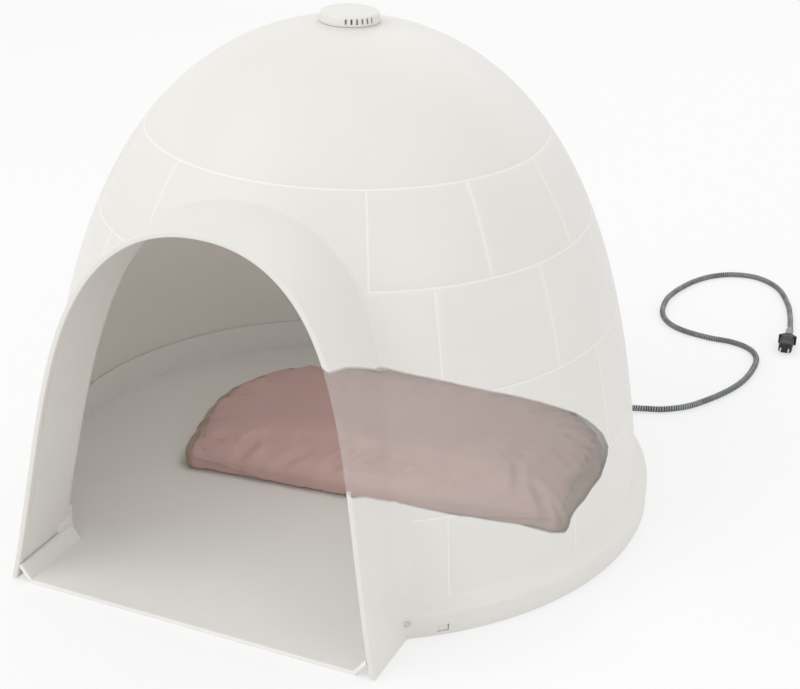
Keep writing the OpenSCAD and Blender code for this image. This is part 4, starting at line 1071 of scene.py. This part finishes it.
def pan_lip():
    """Smooth front edge of the pan: a strip 4.6 mm high that follows the floor and the sloped
    sides and stands a little proud of them."""
    right = np.array([(216.6, 5.3, 219.2, 0.8), (230.6, 22.2, 231.2, 17.4),
                      (233.2, 22.2, 233.2, 17.4)])
    a, b, c, d = np.concatenate([right[::-1]*[-1, 1, -1, 1], right]).T
    near, far = np.full(len(a), -431.9), np.full(len(a), -430.6)
    ring = np.stack([np.stack(corner, -1) for corner in
                     ((a, near, b), (a, far, b), (c, far, d), (c, near, d))], 1)
    return closed_rings(ring)


class IGLOO_OT_vent(bpy.types.Operator):
    """Roof vent: fixed collar and turning cap"""

    bl_idname = "igloo.vent"
    bl_label = "Roof vent"

    def execute(self, context):
        s = context.scene.igloo_house
        plastic = moulded_plastic("vent_plastic", s.shell_colour)
        dress("vent_collar", plastic)
        section = [(636, 0.1), (636, 4), (644.8, 4), (644.8, 0.1)]
        stem = lathe(section, 24, lambda p: p[:, [2, 1, 0]])  # round the vertical axis
        cap = piece("vent_top", [cap_form(), stem], plastic, CAP, 50)
        replace(cap, "vent_cap", slot="shell_plastic")
        return {"FINISHED"}


def cap_form():
    """Vent cap turned round the vertical axis from its section, with columns at the edges of
    the slots, which are cut through its wall."""
    steps = (np.arange(SLOT_COUNT) - (SLOT_COUNT - 1)/2)*SLOT_PITCH
    middles = [SLOT_MIDDLE + side + step for side in (0, 180) for step in steps]
    edges = np.array([m + s for m in middles for s in (-SLOT_HALF, SLOT_HALF)]) % 360
    plain = np.arange(0, 360, 4.0)
    plain = plain[near_turn(plain, edges) > 1.6]
    plain = plain[near_turn(plain, middles) > SLOT_HALF]
    turn = np.sort(np.concatenate([plain, edges]))
    section = np.concatenate([CAP_OUTER, CAP_INNER])
    ring = np.stack([np.cos(np.radians(turn)), np.sin(np.radians(turn))], -1)
    height = np.broadcast_to(section[:, None, 1:], (len(section), len(turn), 1))
    points = np.concatenate([section[:, None, :1]*ring, height], -1)
    n, cols = points.shape[:2]
    index = np.arange(n*cols).reshape(n, cols)
    quads = grid_quads(n, cols, wrap_rows=True)
    keep = np.ones(quads.shape[:2], bool)
    keep[len(CAP_OUTER) - 1] = False
    o0, o1 = (int(np.argmin(np.abs(CAP_OUTER[2:, 1] - z))) + 2 for z in SLOT_Z)
    i0, i1 = (int(np.argmin(np.abs(CAP_INNER[:, 1] - z))) + len(CAP_OUTER) for z in SLOT_Z)
    extra = []
    for m in middles:
        c0, c1 = (int(np.argmin(near_turn(turn, [m + s]))) for s in (-SLOT_HALF, SLOT_HALF))
        extra.append(wall_window(index, keep, (o0, o1), (i0, i1), c0, c1))
    poles = [[0, 0, CAP_OUTER[-1, 1]], [0, 0, CAP_INNER[0, 1]]]
    flat = np.concatenate([points.reshape(-1, 3), poles])
    return flat, [quads[keep], *extra, fan((len(CAP_OUTER) - 1)*cols, cols, n*cols),
                  fan(len(CAP_OUTER)*cols, cols, n*cols + 1, True)]


class IGLOO_OT_cushion(bpy.types.Operator):
    """Heated cushion: filled cover, seam, foam and what lies in it"""

    bl_idname = "igloo.cushion"
    bl_label = "Cushion"

    def execute(self, context):
        s = context.scene.igloo_cushion
        foam = Finish("foam", (0.78, 0.72, 0.5), 0.9)
        foam.bump(foam.noise(500, 3), 0.0004)
        for name, form, node in (("foam_core", pad_form(CORE_INSET, CORE_FLOOR), "foam_core"),
                                 ("foam_base", pad_slab(BASE_INSET, *BASE_Z), "base_foam")):
            replace(piece(name, [form], foam.material, HOUSE), node, slot="foam")
        form = pad_form(COVER_INSET, PAD_FLOOR + 0.3)
        cover = piece("cushion_cover", [form], cover_cloth(s), HOUSE, 180)
        fill_cover(cover, s)
        replace(cover, "cover_top", "cover_bottom", slot="cover_pink")
        thread = Finish("thread", tinted(s.top_colour, 0.78), 0.6)
        thread.bump(thread.noise(2500, 1), 0.00008)
        piece("cover_stitches", stitches(cover), thread.material, HOUSE, 180)
        return {"FINISHED"}


def cover_cloth(s):
    """Soft leather-look cloth: pinkish above the seam and on the whole front, browner below the
    seam at the sides and the back: the lower panel's own colour, made darker as painted shade of
    the sides. It has a fine grain, small creases and an uneven sheen."""
    f = Finish("cover_cloth", s.top_colour, 0.5, Sheen_Weight=0.25, Sheen_Roughness=0.4)
    own = f.node("ShaderNodeMapping", Rotation=(0, 0, -PAD_TURN))
    turned = Matrix.Rotation(-PAD_TURN, 3, "Z") @ Vector((*PAD_PLACE, 0))
    own.inputs["Location"].default_value = turned*-MM
    f.link(f.where, own.inputs["Vector"])
    axes = f.node("ShaderNodeSeparateXYZ")
    f.link(own.outputs["Vector"], axes.inputs["Vector"])
    side = f.math("ABSOLUTE", axes.outputs["X"])
    behind = f.math("MAXIMUM", f.fade(side, 0.248, 0.262), f.fade(axes.outputs["Y"], 0.19, 0.25))
    height = f.math("ADD", f.math("MULTIPLY", behind, 0.020), 0.0215)
    below = f.fade(f.math("SUBTRACT", axes.outputs["Z"], height), 0.001, -0.001)
    cloud = f.noise(9, 3)
    top, lower = (f.ramp(cloud, [(0.3, tinted(c, 1 - d)), (0.7, tinted(c, 1 + d))])
                  for c, d in ((s.top_colour, 0.07), (s.side_colour_and_shade, 0.1)))
    # Below the seam at the sides and back: partly the lower panel's own browner colour, partly
    # painted shade of the sides.
    f.colour(f.mixed(f.math("MULTIPLY", below, behind), top, lower))
    f.roughness(f.noise(30, 3), 0.42, 0.62)
    grain = f.bump(f.noise(900, 2), 0.00005)
    f.bump(f.noise(38, 4), 0.0012, under=grain)
    return f.material


def smooth_step(value, start, end):
    """Climb from 0 to 1 between two values: t squared times (3 - 2 t)."""
    t = np.clip((value - start)/(end - start), 0, 1)
    return t*t*(3 - 2*t)


def seam_height(x, y):
    """Height of the cover's seam: on the floor under the middle of the front, climbing to the
    front corners, and high round the sides and the back."""
    side = np.abs(x)
    behind = np.maximum(smooth_step(side, 248, 262), smooth_step(y, 190, 250))
    climb = np.maximum(np.clip((side - 134)/109, 0, 1), behind)
    return 5.5 + 16*climb + 20*behind


def to_cushion(points):
    """Points in metres, taken into the cushion's frame in millimetres."""
    d = points/MM - [*PAD_PLACE, 0]
    c, q = math.cos(PAD_TURN), math.sin(PAD_TURN)
    return np.stack([d[:, 0]*c + d[:, 1]*q, -d[:, 0]*q + d[:, 1]*c, d[:, 2]], -1)


def outline_share(own):
    """Angle and distance from the cushion's middle, and that distance as a share of the
    outline's in the same direction."""
    outline = pad_outline(720) - [0, PAD_MID]
    angles = np.arctan2(outline[:, 1], outline[:, 0])
    order = np.argsort(angles)
    x, y = own[:, 0], own[:, 1] - PAD_MID
    angle, reach = np.arctan2(y, x), np.hypot(x, y)
    limit = np.interp(angle, angles[order], np.linalg.norm(outline, axis=1)[order], period=2*np.pi)
    return angle, reach, reach/limit


def fill_cover(cover, s):
    """Fills the cover by a cloth simulation: voxel remesh, pressure from inside while the cloth
    grows a little, the seam and the underside held, no point moved past the cap and none drawn
    into the foam, then an even smoothing. One subdivision, the folds and the seam come in
    either."""
    remesh = cover.modifiers.new("grid", "REMESH")
    remesh.mode, remesh.voxel_size, remesh.use_smooth_shade = "VOXEL", s.voxel, True
    apply_modifiers(cover)
    blow_up(cover, s.swell)
    even = cover.modifiers.new("even", "SMOOTH")
    even.factor, even.iterations = 0.5, 5
    smooth = cover.modifiers.new("finer", "SUBSURF")
    smooth.levels = smooth.render_levels = 1
    apply_modifiers(cover)
    fold(cover)


def blow_up(cover, cap):
    """Runs the cloth simulation and keeps its step of each point, at most the cap long and at
    most 1.2 mm inwards."""
    mesh = cover.data
    rest, normal = read_points(mesh), read_normals(mesh)
    own = to_cushion(rest)
    share = outline_share(own)[2]
    held = ((np.abs(own[:, 2] - PAD_SEAM) < 3) & (share > 0.93)) | (own[:, 2] < PAD_FLOOR + 1.5)
    group = cover.vertex_groups.new(name="held")
    group.add(np.flatnonzero(held).tolist(), 1.0, "REPLACE")
    cloth = cover.modifiers.new("fill", "CLOTH")
    st = cloth.settings
    st.quality, st.mass = 6, 0.3
    st.tension_stiffness = st.compression_stiffness = 12
    st.shear_stiffness, st.bending_stiffness = 4, 0.15
    st.use_pressure, st.uniform_pressure_force = True, 4.0
    st.shrink_min = -0.03
    st.vertex_group_mass = "held"
    st.effector_weights.gravity = 0
    scene = bpy.context.scene
    for f in range(1, 21):
        scene.frame_set(f)
    moved = read_points(cover.evaluated_get(bpy.context.evaluated_depsgraph_get()).data)
    cover.modifiers.remove(cloth)
    cover.vertex_groups.clear()
    scene.frame_set(1)
    step = moved - rest
    inward = np.minimum(np.einsum("ij,ij->i", step, normal) + 1.2*MM, 0)
    step -= inward[:, None]*normal
    step *= np.minimum(1, cap/np.maximum(np.linalg.norm(step, axis=1, keepdims=True), 1e-9))
    points = rest + step
    points[:, 2] = np.maximum(points[:, 2], (PAD_FLOOR + 0.3)*MM)
    write_points(mesh, points)


def fold(cover):
    """Moves the cover's points along their normals: each fold is a Gaussian valley round a line
    with a lower ridge on both sides, each hollow a wide Gaussian dip, and the seam a narrow
    groove with a pucker that swings along it."""
    mesh = cover.data
    points, normal = read_points(mesh), read_normals(mesh)
    own = to_cushion(points)
    angle, reach, share = outline_share(own)
    plan, up = own[:, :2], own[:, 2]
    lift = np.zeros(len(own))
    for x0, y0, x1, y1, width, depth in FOLDS:
        a, way = np.array([x0, y0]), np.array([x1 - x0, y1 - y0])
        t = np.clip(((plan - a) @ way)/(way @ way), 0, 1)
        d = np.linalg.norm(plan - a - t[:, None]*way, axis=1)/width
        valley = np.exp(-d**2) - 0.5*np.exp(-((d - 1.7)/0.8)**2)
        lift -= FOLD_SCALE*depth*np.sin(np.pi*(0.12 + 0.76*t))*valley
    for x, y, wide, deep, depth in HOLLOWS:
        lift -= depth*np.exp(-((plan[:, 0] - x)/wide)**2 - ((plan[:, 1] - y)/deep)**2)
    lift *= np.clip((up - 8)/12, 0, 1)
    past = up - seam_height(own[:, 0], own[:, 1])
    beside = np.clip((share - 0.8)/0.06, 0, 1)*np.clip((up - 5.5)/2, 0, 1)
    pucker = 0.5*np.sin(angle*61) + 0.35*np.sin(angle*97 + 1.3)
    lift += beside*(pucker*np.exp(-(past/6)**2) - 1.5*np.exp(-(past/1.9)**2)
                    + 0.6*np.exp(-((past - 4)/2.2)**2))
    points += (np.clip(lift, -6, 4.5)*MM)[:, None]*normal
    points[:, 2] = np.maximum(points[:, 2], (PAD_FLOOR + 0.3)*MM)
    write_points(mesh, points)
    mesh.shade_smooth()


def stitches(cover):
    """Stitches along the seam: small capsules whose middle is the average of the cover's points
    near the seam's height, weighted by a Gaussian of their distance."""
    points, normal = read_points(cover.data), read_normals(cover.data)
    own = to_cushion(points)
    angle, reach, share = outline_share(own)
    near = (share > 0.76) & (own[:, 2] > 6)
    own, angle, reach, normal, points = (a[near] for a in (own, angle, reach, normal, points/MM))
    outline = pad_outline(int(round(1560/STITCH_STEP)))
    height = seam_height(outline[:, 0], outline[:, 1]) + 2.6
    outline, height = outline[height > 11], height[height > 11]
    at = np.arctan2(outline[:, 1] - PAD_MID, outline[:, 0])
    off = (angle[None] - at[:, None] + np.pi) % (2*np.pi) - np.pi
    weight = np.exp(-((off*reach[None])**2 + (own[None, :, 2] - height[:, None])**2)/(2*1.8**2))
    weight /= weight.sum(1, keepdims=True)
    middle, out = weight @ points, weight @ normal
    out /= np.linalg.norm(out, axis=1, keepdims=True)
    way = np.cross([0, 0, 1.0], out)
    way /= np.linalg.norm(way, axis=1, keepdims=True)
    side = np.cross(way, out)
    turn = 2*np.pi*np.arange(6)/6
    section = np.array([(-0.5, 0.35), (-0.3, 1), (0.3, 1), (0.5, 0.35)])
    ring = STITCH_R*(np.cos(turn)[:, None, None]*out + np.sin(turn)[:, None, None]*side)
    form = ((middle + 0.9*STITCH_R*out)[:, None, None]
            + section[None, :, None, 1:]*ring.swapaxes(0, 1)[:, None]
            + STITCH_LONG*section[None, :, None, :1]*way[:, None, None])
    return [closed_rings(one) for one in form]


def read_rows(data, key):
    """Three values for each point of a mesh, one row a point."""
    rows = np.empty(len(data)*3, np.float32)
    data.foreach_get(key, rows)
    return rows.reshape(-1, 3).astype(float)


def read_points(mesh):
    return read_rows(mesh.vertices, "co")


def read_normals(mesh):
    return read_rows(mesh.vertex_normals, "vector")


def write_points(mesh, points):
    mesh.vertices.foreach_set("co", points.astype(np.float32).ravel())
    mesh.update()


def apply_modifiers(obj):
    """Puts what the modifiers make into the object's own mesh."""
    dg = bpy.context.evaluated_depsgraph_get()
    made = bpy.data.meshes.new_from_object(obj.evaluated_get(dg))
    obj.modifiers.clear()
    obj.data = made


class IGLOO_OT_inner(bpy.types.Operator):
    """Heater and wires inside the cushion, its strain relief and closure"""

    bl_idname = "igloo.inner"
    bl_label = "Inner parts"

    def execute(self, context):
        cloth = Finish("heater_cloth", (0.55, 0.56, 0.58), 0.7)
        cloth.bump(cloth.noise(800, 2, cloth.stretched((1, 0.3, 1))), 0.0002)
        sleeve = Finish("wire_sleeve", (0.5, 0.05, 0.03), 0.45)
        sleeve.bump(sleeve.noise(600, 2), 0.0001)
        black = black_rubber("inner_black", (0.015, 0.015, 0.016))
        for node, material in (("heater_sheet", cloth), ("heating_wire", sleeve)):
            dress(node, material.material)
        for node in ("thermostats", "wire_splice", "lead_wires"):
            dress(node, black)
        tape = Finish("zip_tape", (0.16, 0.115, 0.09), 0.8)
        tape.bump(tape.noise(1400, 1, tape.stretched((1, 1, 0.4))), 0.0003)
        dress("cover_zip", tape.material)
        dress("zip_pull", plain_steel("pull_brass", (0.5, 0.4, 0.22)))
        dress("armor_ferrule", plain_steel("sleeve_steel", (0.45, 0.46, 0.46)))
        relief = piece("strain_relief", [strain_relief()], black, HOUSE, 50)
        replace(relief, "cord_gland", slot="black_rubber")
        return {"FINISHED"}


def strain_relief():
    """Rubber strain relief turned round the lead's axis: a flange inside the cover, a neck
    through it, and a cone whose radius falls evenly, with a ring groove every 4.6 mm."""
    x = np.linspace(RELIEF_START, RELIEF_END, 92)
    cone = np.interp(x, [RELIEF_START, 3, RELIEF_END], [8.3, 8.5, 6.25])
    cone -= 0.8*np.clip(np.cos(2*np.pi*(x - 7)/4.6), 0, 1)**2*((x > 4.8) & (x < 27.6))
    profile = np.concatenate([[[-4, 0.1], [-4, 7.3], [-1.4, 7.3], [-1.2, 6.1], [0.2, 6.1]],
                              np.stack([x, cone], -1), [[RELIEF_END, 0.1]]])
    return lathe(profile, 32, turned_place(lead_exit(0), PAD_TURN + math.pi/2))


class IGLOO_OT_stage(bpy.types.Operator):
    """Floor, lamps and room light"""

    bl_idname = "igloo.stage"
    bl_label = "Stage"

    def execute(self, context):
        s = context.scene.igloo_stage
        scene = context.scene
        scene.view_settings.view_transform = "Standard"
        mesh = bpy.data.meshes.new("floor")
        mesh.from_pydata([(-9, -9, 0), (9, -9, 0), (9, 9, 0), (-9, 9, 0)], [], [(0, 1, 2, 3)])
        floor = bpy.data.objects.new("floor", mesh)
        scene.collection.objects.link(floor)
        mesh.materials.append(floor_material(s.floor_white))
        scene.world = room_light(s.world_level)
        lamps = [(name, place, s.key_power*share, size) for name, place, share, size in LAMPS]
        lamps.append(("inner_lamp", INNER_LAMP, s.inner_power, INNER_LAMP_SIZE))
        for name, place, power, size in lamps:
            lamp = bpy.data.lights.new(name, "AREA")
            lamp.energy, lamp.size = power, size
            obj = bpy.data.objects.new(name, lamp)
            obj.location = place
            toward = Vector(LAMP_AIM) - Vector(place)
            obj.rotation_euler = toward.to_track_quat("-Z", "Y").to_euler()
            obj.visible_camera = False
            scene.collection.objects.link(obj)
        return {"FINISHED"}


def room_light(level):
    """Even light from all round: the camera sees plain white, the pieces get a lower level."""
    world = bpy.data.worlds.new("room")
    world.use_nodes = True
    tree = world.node_tree
    back = tree.nodes["Background"]
    back.inputs["Color"].default_value = (1, 1, 1, 1)
    path = tree.nodes.new("ShaderNodeLightPath").outputs
    seen = sum_node(tree, "MAXIMUM", path["Is Camera Ray"], path["Is Glossy Ray"])
    seen = sum_node(tree, "MAXIMUM", seen, path["Is Transmission Ray"])
    strength = tree.nodes.new("ShaderNodeMapRange")
    strength.inputs["To Min"].default_value = level
    strength.inputs["To Max"].default_value = 1.0
    tree.links.new(seen, strength.inputs["Value"])
    tree.links.new(strength.outputs["Result"], back.inputs["Strength"])
    return world


def floor_material(white):
    """Pale matt floor: the camera sees part of it as plain white, and the rest keeps the shadow."""
    material = bpy.data.materials.new("floor")
    material.use_nodes = True
    tree = material.node_tree
    shader = tree.nodes["Principled BSDF"]
    shader.inputs["Base Color"].default_value = (0.9, 0.9, 0.9, 1)
    shader.inputs["Roughness"].default_value = 0.9
    shader.inputs["Specular IOR Level"].default_value = 0.1
    glow = tree.nodes.new("ShaderNodeEmission")
    glow.inputs["Color"].default_value = (1, 1, 1, 1)
    path = tree.nodes.new("ShaderNodeLightPath").outputs
    seen = sum_node(tree, "MAXIMUM", path["Is Camera Ray"], path["Is Glossy Ray"])
    mix = tree.nodes.new("ShaderNodeMixShader")
    tree.links.new(sum_node(tree, "MULTIPLY", seen, white), mix.inputs["Fac"])
    tree.links.new(shader.outputs["BSDF"], mix.inputs[1])
    tree.links.new(glow.outputs["Emission"], mix.inputs[2])
    tree.links.new(mix.outputs["Shader"], tree.nodes["Material Output"].inputs["Surface"])
    return material


class IGLOO_PT_panel(bpy.types.Panel):
    """Lists the pieces and their settings"""

    bl_idname = "IGLOO_PT_panel"
    bl_label = "Igloo dog bed"
    bl_space_type = "VIEW_3D"
    bl_region_type = "UI"
    bl_category = "Igloo"

    def draw(self, context):
        for group in ("igloo_house", "igloo_cushion", "igloo_lead", "igloo_stage"):
            settings = getattr(context.scene, group)
            box = self.layout.box()
            for key in settings.bl_rna.properties.keys():
                if key not in ("rna_type", "name"):
                    box.prop(settings, key)
        for operator in OPERATORS:
            self.layout.operator(operator.bl_idname)


OPERATORS = (IGLOO_OT_camera, IGLOO_OT_lead, IGLOO_OT_shell, IGLOO_OT_pan, IGLOO_OT_vent,
             IGLOO_OT_cushion, IGLOO_OT_inner, IGLOO_OT_stage)
SETTINGS = {"igloo_house": HouseSettings, "igloo_cushion": CushionSettings,
            "igloo_lead": LeadSettings, "igloo_stage": StageSettings}


def register():
    for cls in (*SETTINGS.values(), *OPERATORS, IGLOO_PT_panel):
        bpy.utils.register_class(cls)
    for name, cls in SETTINGS.items():
        setattr(bpy.types.Scene, name, bpy.props.PointerProperty(type=cls))


def unregister():
    for name in SETTINGS:
        delattr(bpy.types.Scene, name)
    for cls in reversed((*SETTINGS.values(), *OPERATORS, IGLOO_PT_panel)):
        bpy.utils.unregister_class(cls)


def main():
    register()
    for operator in OPERATORS:
        group, name = operator.bl_idname.split(".")
        getattr(getattr(bpy.ops, group), name)()


if __name__ == "__main__":
    main()
